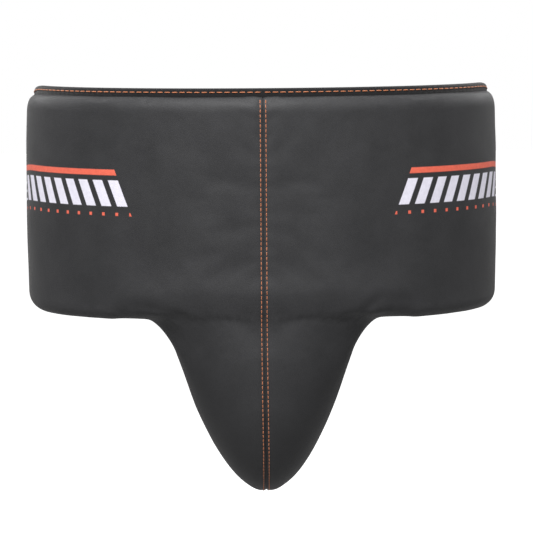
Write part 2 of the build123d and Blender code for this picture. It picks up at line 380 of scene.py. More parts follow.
def neighbours(obj):
    pairs = np.empty(len(obj.data.edges) * 2, int)
    obj.data.edges.foreach_get("vertices", pairs)
    return pairs.reshape(-1, 2)


def relax(obj, weights, rounds, in_plane=()):
    """Evens out the surface where weights are high. Points in_plane stay in the middle plane."""
    pairs, points = neighbours(obj), coordinates(obj)
    count = np.bincount(pairs.ravel(), minlength=len(points))[:, None]
    for _ in range(rounds):
        total = np.zeros_like(points)
        np.add.at(total, pairs[:, 0], points[pairs[:, 1]])
        np.add.at(total, pairs[:, 1], points[pairs[:, 0]])
        points += weights[:, None] * (total / np.maximum(count, 1) - points)
        points[in_plane, 0] = 0
    set_coordinates(obj, points)


def normals(obj):
    flat = np.empty(len(obj.data.vertices) * 3)
    obj.data.vertex_normals.foreach_get("vector", flat)
    return flat.reshape(-1, 3)


def open_edge_points(obj):
    """Which points lie on the mesh's open edges."""
    bm = bmesh.new()
    bm.from_mesh(obj.data)
    marks = np.array([any(e.is_boundary for e in v.link_edges) for v in bm.verts])
    bm.free()
    return marks


def apply_modifiers(obj):
    graph = bpy.context.evaluated_depsgraph_get()
    mesh = bpy.data.meshes.new_from_object(obj.evaluated_get(graph))
    obj.modifiers.clear()
    obj.data = mesh


def subdivide(obj):
    modifier = obj.modifiers.new("smooth", "SUBSURF")
    modifier.levels = modifier.render_levels = 1
    modifier.boundary_smooth = "PRESERVE_CORNERS"
    apply_modifiers(obj)


def inflate(obj, pressure, growth, most_out, most_in, frames=16):
    """Lets the cover swell as cloth over its padding, held at its edges, then keeps the result."""
    start, outward = coordinates(obj), normals(obj)
    held = obj.vertex_groups.new(name="held")
    held.add([int(i) for i in np.flatnonzero(open_edge_points(obj))], 1.0, "REPLACE")
    cloth = obj.modifiers.new("swell", "CLOTH")
    settings = cloth.settings
    settings.quality = 6
    settings.mass = 0.25
    settings.tension_stiffness = settings.compression_stiffness = 18
    settings.shear_stiffness = 8
    settings.bending_stiffness = 1.2
    settings.shrink_min = -growth
    settings.use_pressure = True
    settings.uniform_pressure_force = pressure
    settings.vertex_group_mass = "held"
    settings.effector_weights.gravity = 0
    cloth.collision_settings.use_collision = False
    scene = bpy.context.scene
    for number in range(1, frames + 1):
        scene.frame_set(number)
    graph = bpy.context.evaluated_depsgraph_get()
    swollen = bpy.data.meshes.new_from_object(obj.evaluated_get(graph))
    flat = np.empty(len(start) * 3)
    swollen.vertices.foreach_get("co", flat)
    bpy.data.meshes.remove(swollen)
    obj.modifiers.clear()
    obj.vertex_groups.clear()
    scene.frame_set(1)
    move = flat.reshape(-1, 3) - start
    along = np.sum(move * outward, axis=1)
    across = move - along[:, None] * outward
    along = np.clip(along, -most_in, most_out)
    set_coordinates(obj, start + along[:, None] * outward + 0.5 * across)


# ================================================================ materials
def new_material(name):
    material = bpy.data.materials.new(name)
    material.use_nodes = True
    tree = material.node_tree
    return material, tree, tree.nodes["Principled BSDF"]


def node(tree, kind, settings=None, **inputs):
    """A shader node. Inputs are values, or sockets of other nodes."""
    made = tree.nodes.new(kind)
    for key, value in (settings or {}).items():
        setattr(made, key, value)
    for key, value in inputs.items():
        socket = made.inputs[int(key[1:])] if key[0] == "i" and key[1:].isdigit() else made.inputs[key]
        if isinstance(value, bpy.types.NodeSocket):
            tree.links.new(value, socket)
        else:
            socket.default_value = value
    return made


def math_node(tree, operation, a, b=0.0, c=0.0, clamp=False):
    made = node(tree, "ShaderNodeMath", {"operation": operation, "use_clamp": clamp}, i0=a, i1=b, i2=c)
    return made.outputs[0]


def millimetre_map(tree):
    """The piece's own surface coordinates, in millimetres."""
    uv = node(tree, "ShaderNodeUVMap", {"uv_map": "UVMap"})
    scaled = node(tree, "ShaderNodeVectorMath", {"operation": "SCALE"}, i0=uv.outputs[0], Scale=1000.0)
    return scaled.outputs[0]


def split(tree, vector):
    parts = node(tree, "ShaderNodeSeparateXYZ", i0=vector)
    return parts.outputs[0], parts.outputs[1]


def noise_at(tree, vector, scale, detail=3.0, roughness=0.55):
    made = node(tree, "ShaderNodeTexNoise", Vector=vector, Scale=scale, Detail=detail, Roughness=roughness)
    return made.outputs[0]


def remap(tree, value, low=0.3, high=0.7, to_low=0.0, to_high=1.0):
    made = node(tree, "ShaderNodeMapRange", {"clamp": True}, i0=value, i1=low, i2=high, i3=to_low, i4=to_high)
    return made.outputs[0]


def product(tree, *masks):
    total = masks[0]
    for mask in masks[1:]:
        total = math_node(tree, "MULTIPLY", total, mask)
    return total


def shade(colour, factor):
    return tuple(c * factor for c in colour)


def mix_colour(tree, share, first, second):
    made = node(tree, "ShaderNodeMix", {"data_type": "RGBA"})
    for socket, value in ((made.inputs[0], share), (made.inputs[6], first), (made.inputs[7], second)):
        if isinstance(value, bpy.types.NodeSocket):
            tree.links.new(value, socket)
        elif isinstance(value, (int, float)):
            socket.default_value = value
        else:
            socket.default_value = (*value, 1.0)
    return made.outputs[2]


def bump(tree, height, distance, strength=1.0, under=None):
    made = node(tree, "ShaderNodeBump", Height=height, Distance=distance, Strength=strength)
    if under is not None:
        tree.links.new(under, made.inputs["Normal"])
    return made.outputs[0]


def set_surface(tree, bsdf, colour, roughness, normal, sheen=0.0, sheen_roughness=0.4, specular=0.4):
    tree.links.new(colour, bsdf.inputs["Base Color"])
    tree.links.new(roughness, bsdf.inputs["Roughness"])
    tree.links.new(normal, bsdf.inputs["Normal"])
    bsdf.inputs["Sheen Weight"].default_value = sheen
    bsdf.inputs["Sheen Roughness"].default_value = sheen_roughness
    bsdf.inputs["Sheen Tint"].default_value = (1.0, 0.98, 0.97, 1.0)
    bsdf.inputs["Specular IOR Level"].default_value = specular


def leather_layers(tree, dark, light):
    """Colour, roughness and normal of a fine-grained matte leather."""
    place = millimetre_map(tree)
    warp = node(tree, "ShaderNodeTexNoise", Vector=place, Scale=0.55, Detail=2.0)
    shifted = node(tree, "ShaderNodeVectorMath", {"operation": "ADD"}, i0=place, i1=warp.outputs[1])
    edges = {"feature": "DISTANCE_TO_EDGE"}
    cells = node(tree, "ShaderNodeTexVoronoi", edges, Vector=shifted.outputs[0], Scale=0.95)
    pores = noise_at(tree, place, 3.2, 4.0, 0.6)
    cloudy = noise_at(tree, place, 0.035, 4.0, 0.55)
    rubbed = noise_at(tree, place, 0.16, 5.0, 0.65)
    wear = node(tree, "ShaderNodeAttribute", {"attribute_name": "wear"}).outputs[2]
    grain = remap(tree, cells.outputs[0], 0.0, 0.22, 0.0, 1.0)
    tone = math_node(tree, "MULTIPLY_ADD", cloudy, 0.75, product(tree, rubbed, 0.25))
    tone = remap(tree, tone)
    colour = mix_colour(tree, tone, dark, light)
    creased = mix_colour(tree, remap(tree, grain, 0.0, 1.0, 0.28, 0.0), colour, shade(dark, 0.4))
    worn_share = product(tree, wear, remap(tree, rubbed, 0.35, 0.7, 0.2, 1.0))
    worn = mix_colour(tree, product(tree, worn_share, 0.45), creased, shade(light, 2.1))
    roughness = remap(tree, tone, 0.0, 1.0, 0.50, 0.62)
    roughness = math_node(tree, "SUBTRACT", roughness, product(tree, worn_share, 0.10))
    coarse = bump(tree, rubbed, 0.25 * MM, 0.35)
    fine = bump(tree, grain, 0.045 * MM, 0.75, coarse)
    normal = bump(tree, pores, 0.03 * MM, 0.6, fine)
    return place, worn, roughness, normal


def between(tree, value, low, high, soft=0.25):
    """1 where the value lies between low and high, with soft ends."""
    rise = remap(tree, value, low - soft, low + soft, 0.0, 1.0)
    fall = remap(tree, value, high - soft, high + soft, 1.0, 0.0)
    return product(tree, rise, fall)


def every(tree, value, start, pitch, width, soft=0.25):
    """1 on stripes of the given width, repeated at the pitch."""
    shifted = math_node(tree, "SUBTRACT", value, start - pitch)
    phase = math_node(tree, "MODULO", shifted, pitch)
    return between(tree, phase, soft, width + soft, soft)


def printed_bars(tree, place):
    """Masks of a plain decoration printed on the belt's sides, in pale and in coral ink.

    It has slanted bars, one strip above them, a few thin lines and a row of small squares.
    """
    along, down = split(tree, place)
    slanted = math_node(tree, "MULTIPLY_ADD", down, PRINT_SLANT, along)
    whole = between(tree, slanted, PRINT_START, PRINT_END)
    bars = product(
        tree,
        every(tree, slanted, PRINT_START, PRINT_PITCH, PRINT_BAR),
        between(tree, down, *BAR_BAND),
        between(tree, slanted, PRINT_START, PRINT_END - 14),
    )
    lines = product(
        tree,
        every(tree, down, 0.0, LINE_PITCH, LINE_WIDTH),
        between(tree, down, *BAR_BAND),
        between(tree, slanted, LINES_FROM, LINES_TO),
    )
    strip = product(tree, between(tree, down, *STRIP_BAND), whole)
    squares = product(
        tree,
        every(tree, along, PRINT_START - 26, SQUARE_PITCH, SQUARE_WIDTH),
        between(tree, down, *SQUARE_BAND),
        whole,
    )
    return math_node(tree, "MAXIMUM", strip, squares), math_node(tree, "MAXIMUM", bars, lines)


def cover_leather(name, printed=True):
    material, tree, bsdf = new_material(name)
    place, colour, roughness, normal = leather_layers(tree, LEATHER_DARK, LEATHER_LIGHT)
    if printed:
        strips, bars = printed_bars(tree, place)
        flakes = remap(tree, noise_at(tree, place, 1.4, 5.0, 0.7), 0.24, 0.34, 0.25, 1.0)
        mottled = remap(tree, noise_at(tree, place, 0.3, 3.0))
        coral = mix_colour(tree, mottled, PRINT_CORAL, shade(PRINT_CORAL, 0.86))
        pale = mix_colour(tree, mottled, PRINT_PALE, shade(PRINT_PALE, 0.9))
        strip_share = product(tree, strips, flakes)
        bar_share = product(tree, bars, flakes)
        colour = mix_colour(tree, strip_share, colour, coral)
        colour = mix_colour(tree, bar_share, colour, pale)
        ink = math_node(tree, "MAXIMUM", strip_share, bar_share)
        roughness = math_node(tree, "MULTIPLY_ADD", ink, -0.08, roughness)
        normal = bump(tree, ink, 0.05 * MM, 0.8, normal)
    set_surface(tree, bsdf, colour, roughness, normal, sheen=0.08, sheen_roughness=0.3, specular=0.22)
    return material


def wave(tree, value, period, low=0.0, high=1.0):
    """A smooth ripple of a coordinate, with the given period in millimetres."""
    turned = product(tree, value, 2 * math.pi / period)
    return remap(tree, math_node(tree, "SINE", turned), -1.0, 1.0, low, high)


def tape_fabric(name, dark, light, rib=0.7, sheen=0.5):
    """A fine twill tape: slanted ribs crossed by a thinner weave."""
    material, tree, bsdf = new_material(name)
    place = millimetre_map(tree)
    along, across = split(tree, place)
    slanted = math_node(tree, "ADD", along, across)
    ribs = wave(tree, slanted, rib)
    weft = wave(tree, math_node(tree, "SUBTRACT", along, across), rib * 0.55)
    weave = product(tree, ribs, remap(tree, weft, 0.0, 1.0, 0.6, 1.0))
    cloudy = noise_at(tree, place, 0.12, 4.0)
    fibres = noise_at(tree, place, 4.0, 3.0, 0.7)
    base = mix_colour(tree, remap(tree, cloudy), dark, light)
    colour = mix_colour(tree, remap(tree, weave, 0.0, 1.0, 0.6, 0.0), base, shade(dark, 0.35))
    roughness = remap(tree, fibres, 0.3, 0.7, 0.72, 0.9)
    normal = bump(tree, fibres, 0.04 * MM, 0.5, bump(tree, weave, 0.12 * MM, 0.8))
    set_surface(tree, bsdf, colour, roughness, normal, sheen=sheen, sheen_roughness=0.5, specular=0.2)
    return material


def knit_lining(name):
    """A soft knitted lining: rows of small loops with a brushed surface."""
    material, tree, bsdf = new_material(name)
    place = millimetre_map(tree)
    along, down = split(tree, place)
    wales = wave(tree, along, 1.2)
    half = product(tree, wave(tree, along, 2.4, -0.5, 0.5), 0.8)
    courses = wave(tree, math_node(tree, "ADD", down, half), 1.2)
    loops = product(tree, wales, courses)
    cloudy = noise_at(tree, place, 0.05, 4.0)
    fuzz = noise_at(tree, place, 2.6, 4.0, 0.75)
    base = mix_colour(tree, remap(tree, cloudy), (0.020, 0.020, 0.022), (0.031, 0.031, 0.034))
    colour = mix_colour(tree, remap(tree, loops, 0.0, 0.7, 0.65, 0.0), base, (0.007, 0.007, 0.008))
    roughness = remap(tree, fuzz, 0.3, 0.7, 0.78, 0.95)
    normal = bump(tree, fuzz, 0.08 * MM, 0.5, bump(tree, loops, 0.12 * MM, 0.6))
    set_surface(tree, bsdf, colour, roughness, normal, sheen=0.15, sheen_roughness=0.5, specular=0.12)
    return material


def ribbed_elastic(name):
    """Woven elastic: lengthwise ribs crossed by fine puckers."""
    material, tree, bsdf = new_material(name)
    place = millimetre_map(tree)
    along, across = split(tree, place)
    ribs = wave(tree, across, 1.9)
    rubber = wave(tree, along, 0.85)
    threads = noise_at(tree, place, 2.2, 4.0, 0.7)
    height = math_node(tree, "MULTIPLY_ADD", rubber, 0.45, ribs)
    cloudy = noise_at(tree, place, 0.08, 4.0)
    base = mix_colour(tree, remap(tree, cloudy), (0.016, 0.016, 0.018), (0.028, 0.028, 0.031))
    colour = mix_colour(tree, remap(tree, height, 0.1, 1.1, 0.65, 0.0), base, (0.005, 0.005, 0.006))
    roughness = remap(tree, threads, 0.3, 0.7, 0.62, 0.82)
    normal = bump(tree, threads, 0.05 * MM, 0.5, bump(tree, height, 0.2 * MM, 0.9))
    set_surface(tree, bsdf, colour, roughness, normal, sheen=0.2, sheen_roughness=0.4, specular=0.2)
    return material


def touch_tape(name, hooks):
    """The hook side is a fine regular field of pins. The loop side is brushed fuzz."""
    material, tree, bsdf = new_material(name)
    place = millimetre_map(tree)
    along, across = split(tree, place)
    pins = product(tree, wave(tree, along, 1.3), wave(tree, across, 1.6))
    fuzz = noise_at(tree, place, 1.3, 6.0, 0.85)
    curls = node(tree, "ShaderNodeTexVoronoi", {"feature": "F1"}, Vector=place, Scale=1.6, Randomness=1.0)
    brushed = math_node(tree, "MULTIPLY_ADD", curls.outputs[0], 0.6, fuzz)
    height = pins if hooks else brushed
    dark, light = (0.012, 0.012, 0.013), (0.050, 0.050, 0.054)
    if hooks:
        dark, light = (0.010, 0.010, 0.011), (0.045, 0.045, 0.048)
    colour = mix_colour(tree, remap(tree, height, 0.2, 0.9, 0.0, 1.0), dark, light)
    roughness = remap(tree, fuzz, 0.3, 0.7, 0.45 if hooks else 0.85, 0.6 if hooks else 1.0)
    normal = bump(tree, height, (0.55 if hooks else 0.4) * MM, 0.9)
    set_surface(tree, bsdf, colour, roughness, normal, sheen=0.1 if hooks else 0.8, specular=0.3)
    return material


def twisted_thread(name, colour_value):
    """Polyester thread: plies that wind round it, slightly shiny."""
    material, tree, bsdf = new_material(name)
    place = millimetre_map(tree)
    along, around = split(tree, place)
    plies = wave(tree, math_node(tree, "MULTIPLY_ADD", around, 0.9, along), 0.62)
    fibres = noise_at(tree, place, 5.0, 3.0, 0.7)
    base = mix_colour(tree, remap(tree, fibres), shade(colour_value, 0.8), colour_value)
    colour = mix_colour(tree, remap(tree, plies, 0.0, 0.6, 0.55, 0.0), base, shade(colour_value, 0.3))
    roughness = remap(tree, fibres, 0.3, 0.7, 0.42, 0.58)
    normal = bump(tree, fibres, 0.02 * MM, 0.5, bump(tree, plies, 0.1 * MM, 0.9))
    set_surface(tree, bsdf, colour, roughness, normal, sheen=0.25, specular=0.45)
    return material


def moulded_plastic(name):
    """Moulded cup plastic, slightly speckled, by the object's own place in space."""
    material, tree, bsdf = new_material(name)
    place = node(tree, "ShaderNodeTexCoord").outputs["Object"]
    speckle = noise_at(tree, place, 900.0, 3.0)
    flow = noise_at(tree, place, 40.0, 4.0)
    colour = mix_colour(tree, remap(tree, flow), (0.06, 0.06, 0.065), (0.085, 0.085, 0.09))
    roughness = remap(tree, speckle, 0.3, 0.7, 0.38, 0.52)
    set_surface(tree, bsdf, colour, roughness, bump(tree, speckle, 0.05 * MM, 0.5))
    return material


def pale_floor(name):
    """Pale matte paper that gets brighter away from the object, like a lit studio background."""
    material, tree, bsdf = new_material(name)
    place = node(tree, "ShaderNodeTexCoord").outputs["Object"]
    distance = node(tree, "ShaderNodeVectorMath", {"operation": "LENGTH"}, i0=place).outputs["Value"]
    drift = noise_at(tree, place, 1.5, 2.0)
    seen = node(tree, "ShaderNodeLightPath").outputs["Is Camera Ray"]
    pale = mix_colour(tree, drift, (0.86, 0.86, 0.86), (0.90, 0.90, 0.90))
    colour = mix_colour(tree, seen, (BOUNCE, BOUNCE, BOUNCE), pale)
    roughness = remap(tree, drift, 0.3, 0.7, 0.7, 0.8)
    set_surface(tree, bsdf, colour, roughness, bump(tree, drift, 0.1 * MM, 0.1), specular=0.1)
    glow = remap(tree, distance, LIT_FROM, LIT_FULLY, 0.0, 1.0)
    tree.links.new(product(tree, glow, seen), bsdf.inputs["Emission Strength"])
    bsdf.inputs["Emission Color"].default_value = (1.0, 1.0, 1.0, 1.0)
    return material


LEATHER = cover_leather("cover_leather")
PLAIN_LEATHER = cover_leather("patch_leather", printed=False)
BINDING = tape_fabric("binding_tape", (0.010, 0.010, 0.011), (0.017, 0.017, 0.019), sheen=0.15)
LINING = knit_lining("lining_knit")
ELASTIC = ribbed_elastic("elastic_webbing")
HOOKS = touch_tape("hook_tape", hooks=True)
LOOPS = touch_tape("loop_tape", hooks=False)
COPPER = twisted_thread("copper_thread", THREAD_COPPER)
DARK_THREAD = twisted_thread("dark_thread", THREAD_DARK)
CUP_PLASTIC = moulded_plastic("cup_plastic")

# ================================================================ outer leather
def belt_stations():
    """Arc lengths of the belt's columns: close together at the seam, the corner and the end."""
    seam = np.array([0, 0.8, 1.6, 2.5, 3.5, 4.7, 6.2, 8.2, 11]) * MM
    corner = EDGE_LENGTH - 14 * MM, EDGE_LENGTH, EDGE_LENGTH + 12 * MM
    runs = [seam, spaced(11 * MM, corner[0], 3.8 * MM), spaced(corner[0], corner[1], 1.4 * MM)]
    runs += [spaced(corner[1], corner[2], 2.0 * MM), spaced(corner[2], WING_END - END_ROUND, 4 * MM)]
    return joined(*runs)


def end_columns():
    """Insets and arc lengths that round off a wing's end."""
    turn = np.linspace(0, QUARTER, END_STEPS + 1)[1:]
    return END_ROUND * (1 - np.cos(turn)), WING_END - END_ROUND + END_ROUND * np.sin(turn)


STATIONS = belt_stations()
TONGUE = int(np.argmin(np.abs(STATIONS - EDGE_LENGTH)))  # the column at the crotch piece's edge


def belt_rows(length, shrink=0.0):
    """One column of the outer skin, from the binding down, round and under to the lining."""
    points = []
    share = min(1.0, length / EDGE_LENGTH)
    in_base = FRONT_ROUND + (BASE_ROUND - FRONT_ROUND) * float(smoothstep((share - 0.15) / 0.6))
    over_crotch = 1 - float(smoothstep((length / EDGE_LENGTH - 0.85) / 0.35))

    def put(inset, from_top=None, from_bottom=None):
        x, y = plan(length, inset)
        if from_top is not None:
            points.append((x, y, top_at(y) - max(from_top, shrink)))
        else:
            points.append((x, y, bottom_at(y) + max(from_bottom, shrink)))

    for turn in np.linspace(0, QUARTER, 11):
        groove = GROOVE * bell(turn, 0.30) - ROLL_RIDGE * bell(turn - 0.62, 0.12)
        inset = max(ROLL_INSET * (1 - math.sin(turn)), shrink)
        put(inset, from_top=ROLL_HEIGHT * (1 - math.cos(turn)) + groove)
    x, y = plan(length, 0.0)
    high, low = top_at(y) - ROLL_HEIGHT, bottom_at(y) + BASE_ROUND
    for share_down in np.linspace(0, 1, 36)[1:]:
        z = high + (low - high) * share_down
        crest = CREST * over_crotch * bell(z - low - CREST_HEIGHT + BASE_ROUND, CREST_REACH)
        crown = CROWN * math.sin(math.pi * share_down)
        inset = max(-crest - crown, shrink) if shrink else -crest - crown
        x, y = plan(length, inset)
        points.append((x, y, z))
    for turn in np.linspace(0, QUARTER, ROUND_ROWS + 1)[1:]:
        put(max(in_base * (1 - math.cos(turn)), shrink), from_bottom=BASE_ROUND * (1 - math.sin(turn)))
    under_start = len(points)
    for across in np.linspace(0, 1, UNDER_ROWS + 1)[1:]:
        inset = in_base + (THICKNESS - INNER_ROUND - in_base) * across
        inset = min(inset, THICKNESS - INNER_ROUND - shrink * 0.2)
        put(inset, from_bottom=UNDER_ARCH * math.sin(math.pi * across))
    for turn in np.linspace(0, QUARTER, 4)[1:]:
        inset = THICKNESS - INNER_ROUND * (1 - math.sin(turn))
        put(inset - shrink * 0.2, from_bottom=INNER_ROUND * (1 - math.cos(turn)))
    return np.array(points), under_start


def crotch_point(height, turn):
    """Outer surface of the crotch piece. turn goes from the seam, 0, to the rim, a quarter turn."""
    width, back = crotch_half_width(height), crotch_back_y(height)
    depth = back - crotch_front_y(height)
    return np.array([width * math.sin(turn), back - depth * math.cos(turn), TIP_Z + height])


def rim_wrap(height, turn):
    """The leather turned round the crotch piece's rim on to its back."""
    width, back = float(crotch_half_width(height)), float(crotch_back_y(height))
    radius = min(RIM_RADIUS, 0.3 * width + 0.3 * MM)
    fade = float(smoothstep((CROTCH_HEIGHT - height) / (10 * MM)))
    radius = radius * (0.35 + 0.65 * fade)
    round_rim = min(turn, QUARTER)
    inward = radius * (1 - math.cos(round_rim))
    extra = 4 * MM * max(0.0, turn - QUARTER) * min(1.0, width / (8 * MM))
    return np.array([width - inward - extra, back + radius * math.sin(round_rim), TIP_Z + height])


def crotch_heights():
    near_top = CROTCH_HEIGHT - np.array([0, 1.2, 2.8, 4.8, 7.2, 10.2, 14]) * MM
    below = (CROTCH_HEIGHT - 14 * MM) * np.linspace(1, 0.014, 46)[1:] ** 1.7
    return np.concatenate([near_top, below])


def build_cover(side, name):
    """One leather panel: half the belt's outside and half the crotch piece, meeting at the seam."""
    columns = [belt_rows(s) for s in STATIONS]
    under_start = columns[0][1]
    columns = [c[0] for c in columns]
    sines = np.sin(np.interp(STATIONS[: TONGUE + 1], LENGTHS, ANGLES)) / math.sin(EDGE_ANGLE)
    turns = [math.asin(min(1.0, sine)) for sine in sines]
    for column, turn in zip(columns, turns):
        cross_crease(column, under_start, turn)
    insets, lengths = end_columns()
    for inset, length in zip(insets, lengths):
        columns.append(belt_rows(length, shrink=inset)[0])
    columns += end_face(columns[-1], lining_column(lengths[-1], insets[-1]))
    points = np.stack(columns, axis=1)
    keep = np.ones((points.shape[0] - 1, points.shape[1] - 1), bool)
    keep[under_start + UNDER_ROWS - 1 :, :TONGUE] = False

    heights = crotch_heights()
    wraps = np.array([0.35, 0.7, 1.0, 1.3]) * QUARTER
    crotch = [[crotch_point(h, t) for t in turns] + [rim_wrap(h, w) for w in wraps] for h in heights]
    crotch = np.array(crotch)

    bm = bmesh.new()
    belt_uv = grid_uvs(points)
    belt_uv[..., 0] = belt_uv[LEVEL_ROW][None, :, 0]
    crotch_uv = grid_uvs(crotch)
    crotch_uv[..., 1] += belt_uv[under_start + UNDER_ROWS - 1, 0, 1]
    add_grid(bm, mirrored(points, side), belt_uv, keep)
    add_grid(bm, mirrored(crotch, side), crotch_uv)
    cover = finish_mesh(bm, name, LEATHER, flip=side < 0, weld=0.05 * MM)

    weights, seam = crease_weights(cover)
    relax(cover, weights, 70, seam)
    inflate(cover, pressure=2.4, growth=0.004, most_out=1.3 * MM, most_in=0.3 * MM)
    relax(cover, weights, 12, seam)
    shape_cover(cover, side, seam)
    subdivide(cover)
    mark_wear(cover)
    set_coordinates(cover, lean(coordinates(cover)))
    return cover


def crease_weights(cover):
    """How much each point is evened out near the crease, and which points lie on the seam."""
    spots = coordinates(cover)
    aside = np.abs(spots[:, 0])
    near = np.abs(spots[:, 2] - PAD_BOTTOM + 2 * MM) / (18 * MM)
    centred = 1 - 0.75 * smoothstep((aside - 45 * MM) / (40 * MM))
    weights = 0.6 * smoothstep(1.35 - near) * centred * (aside < HALF_WIDTH * 0.62)
    edge = open_edge_points(cover)
    seam = edge & (aside < 0.3 * MM)
    weights[edge & ~seam] = 0
    return weights, seam


def cross_crease(column, under_start, turn):
    """Leads a column of the belt's skin over the crease on to the crotch piece.

    At the centre it is a shallow valley. At the leg openings it turns under the belt's edge first.
    """
    face_end = under_start - 1 - ROUND_ROWS
    first, last = column[face_end], crotch_point(CROTCH_HEIGHT, turn)
    onward = last - crotch_point(CROTCH_HEIGHT - MM, turn)
    onward /= np.linalg.norm(onward)
    a, b = first - np.array([0, 0, 4.5 * MM]), last + onward * 3.0 * MM
    t = np.linspace(0, 1, ROUND_ROWS + UNDER_ROWS + 1)[1:, None]
    valley = first * (1 - t) ** 3 + 3 * a * t * (1 - t) ** 2 + 3 * b * t**2 * (1 - t) + last * t**3
    share = np.linspace(0, 1, UNDER_ROWS + 1)[1:, None]
    flat = column[under_start - 1] * (1 - share) + last * share
    under = np.concatenate([column[face_end + 1 : under_start], flat])
    edge = float(smoothstep((turn / QUARTER - 0.45) / 0.55))
    column[face_end + 1 : under_start + UNDER_ROWS] = valley * (1 - edge) + under * edge


def end_face(outer, inner):
    """Columns across a wing's end, from the outer skin to the lining."""
    inner = inner[np.argsort(inner[:, 2])]
    partner = np.stack([np.interp(outer[:, 2], inner[:, 2], inner[:, k]) for k in range(3)], axis=1)
    return [outer + (partner - outer) * share for share in (0.33, 0.67, 1.0)]


def shape_cover(cover, side, seam):
    """The seam's valley, the folds at the leg openings and the pad's slight unevenness."""
    spots, outward = coordinates(cover), normals(cover)
    near = np.abs(spots[:, 0])
    in_front = spots[:, 1] < 0
    valley = 1.0 * MM * bell(near, 0.75 * MM)
    stitched = 0.35 * MM * bell(near - SEAM_STITCH, 1.0 * MM)
    swell = -0.3 * MM * bell(near - 7 * MM, 4.0 * MM)
    depth = np.where(in_front, valley + stitched + swell, 0)
    for (x0, z0), (x1, z1), fold, breadth in FOLDS[side]:
        along = np.array([x1 - x0, z1 - z0])
        length = np.linalg.norm(along)
        rel = spots[:, [0, 2]] - np.array([x0, z0])
        share = np.clip(rel @ along / length**2, 0, 1)
        gap = np.linalg.norm(rel - share[:, None] * along, axis=1)
        taper = np.sin(math.pi * np.clip(share * 0.8 + 0.1, 0, 1))
        depth += np.where(in_front, fold * taper * bell(gap, breadth), 0)
    rough = np.array([uneven(p, 38 * MM, 3.1 * side) + 0.4 * uneven(p, 15 * MM, 7.7 * side) for p in spots])
    held = open_edge_points(cover)
    depth += np.where(held, 0, 0.35 * MM * rough * smoothstep(near / (15 * MM)))
    spots -= depth[:, None] * outward
    spots[seam, 0] = 0
    set_coordinates(cover, spots)


def mark_wear(cover):
    """Stores how rubbed each point is: most on the top roll, the bottom edge and the tip."""
    spots = coordinates(cover)
    y, z = spots[:, 1], spots[:, 2]
    roll = bell(top_at(y) - z - 5 * MM, 4.5 * MM)
    base = bell(z - bottom_at(y) - 3 * MM, 5 * MM)
    tip = np.exp(-((z - TIP_Z) / (14 * MM)))
    wear = np.clip(roll * 0.25 + base * 0.6 + tip * 0.6, 0, 1)
    attribute = cover.data.attributes.new("wear", "FLOAT", "POINT")
    attribute.data.foreach_set("value", wear.astype(np.float32))


# ================================================================ lining of the belt
def lining_column(length, shrink=0.0):
    """One column of the lining, from the binding's inner foot down to the bottom edge."""
    points = []
    start = BINDING_INSET + BINDING_THICK - 0.6 * MM
    for turn in np.linspace(0, QUARTER, 9):
        inset = start + (THICKNESS - start) * math.sin(turn)
        x, y = plan(length, min(inset, THICKNESS - shrink))
        drop = LINING_ROUND * (1 - math.cos(turn)) + 0.8 * MM * bell(turn, 0.25)
        points.append((x, y, top_at(y) - max(drop, shrink)))
    x, y = plan(length, THICKNESS - shrink)
    high, low = top_at(y) - LINING_ROUND, bottom_at(y) + max(INNER_ROUND, shrink)
    for share in np.linspace(0, 1, 34)[1:]:
        points.append((x, y, high + (low - high) * share))
    return np.array(points)


def build_lining(side, name):
    columns = [lining_column(s) for s in STATIONS]
    for inset, length in zip(*end_columns()):
        columns.append(lining_column(length, shrink=inset))
    points = np.stack(columns, axis=1)
    bm = bmesh.new()
    add_grid(bm, mirrored(points, side), grid_uvs(points))
    lining = finish_mesh(bm, name, LINING, flip=side > 0)
    inflate(lining, pressure=1.5, growth=0.006, most_out=1.0 * MM, most_in=0.3 * MM, frames=10)
    spots, outward = coordinates(lining), normals(lining)
    share = np.arctan2(np.abs(spots[:, 0]), -spots[:, 1]) / END_ANGLE
    depth = np.zeros(len(spots))
    for place in CHANNELS:
        depth += CHANNEL_DEPTH * bell(share - place, CHANNEL_WIDTH)
    inside = np.hypot(spots[:, 0] / (HALF_WIDTH - THICKNESS), spots[:, 1] / (HALF_DEPTH - THICKNESS)) < 1.02
    depth = np.where(inside, depth, 0)
    rough = np.array([uneven(p, 30 * MM, 5.3 * side) for p in spots])
    held = open_edge_points(lining) & (np.abs(spots[:, 0]) > 1 * MM)
    depth += np.where(held, 0, 0.4 * MM * rough)
    set_coordinates(lining, spots - depth[:, None] * outward)
    subdivide(lining)
    return lining


# ================================================================ top binding
def binding_section(pucker):
    """The folded tape's outline as inset and height above the padding's top."""
    outer, inner = BINDING_INSET + pucker, BINDING_INSET + BINDING_THICK - pucker
    high = BINDING_TOP - PAD_TOP
    radius = BINDING_THICK / 2
    outline = [(outer, -1.6 * MM), (outer - 0.2 * MM, 0.3 * MM), (outer, 1.6 * MM), (outer, high - radius)]
    for turn in np.linspace(0, math.pi, 9)[1:-1]:
        middle = (outer + inner) / 2
        outline.append((middle - radius * math.cos(turn), high - radius + radius * math.sin(turn)))
    outline += [(inner, high - radius), (inner, 1.6 * MM), (inner + 0.2 * MM, 0.3 * MM), (inner, -1.6 * MM)]
    return outline


def end_drop(length):
    """How far the tape's feet reach down to close the padding's rounded end."""
    toward_end = max(0.0, length - (WING_END - END_ROUND)) / END_ROUND
    return 1.15 * END_ROUND * (1 - math.sqrt(max(0.0, 1 - min(1.0, toward_end * 1.1) ** 2)))


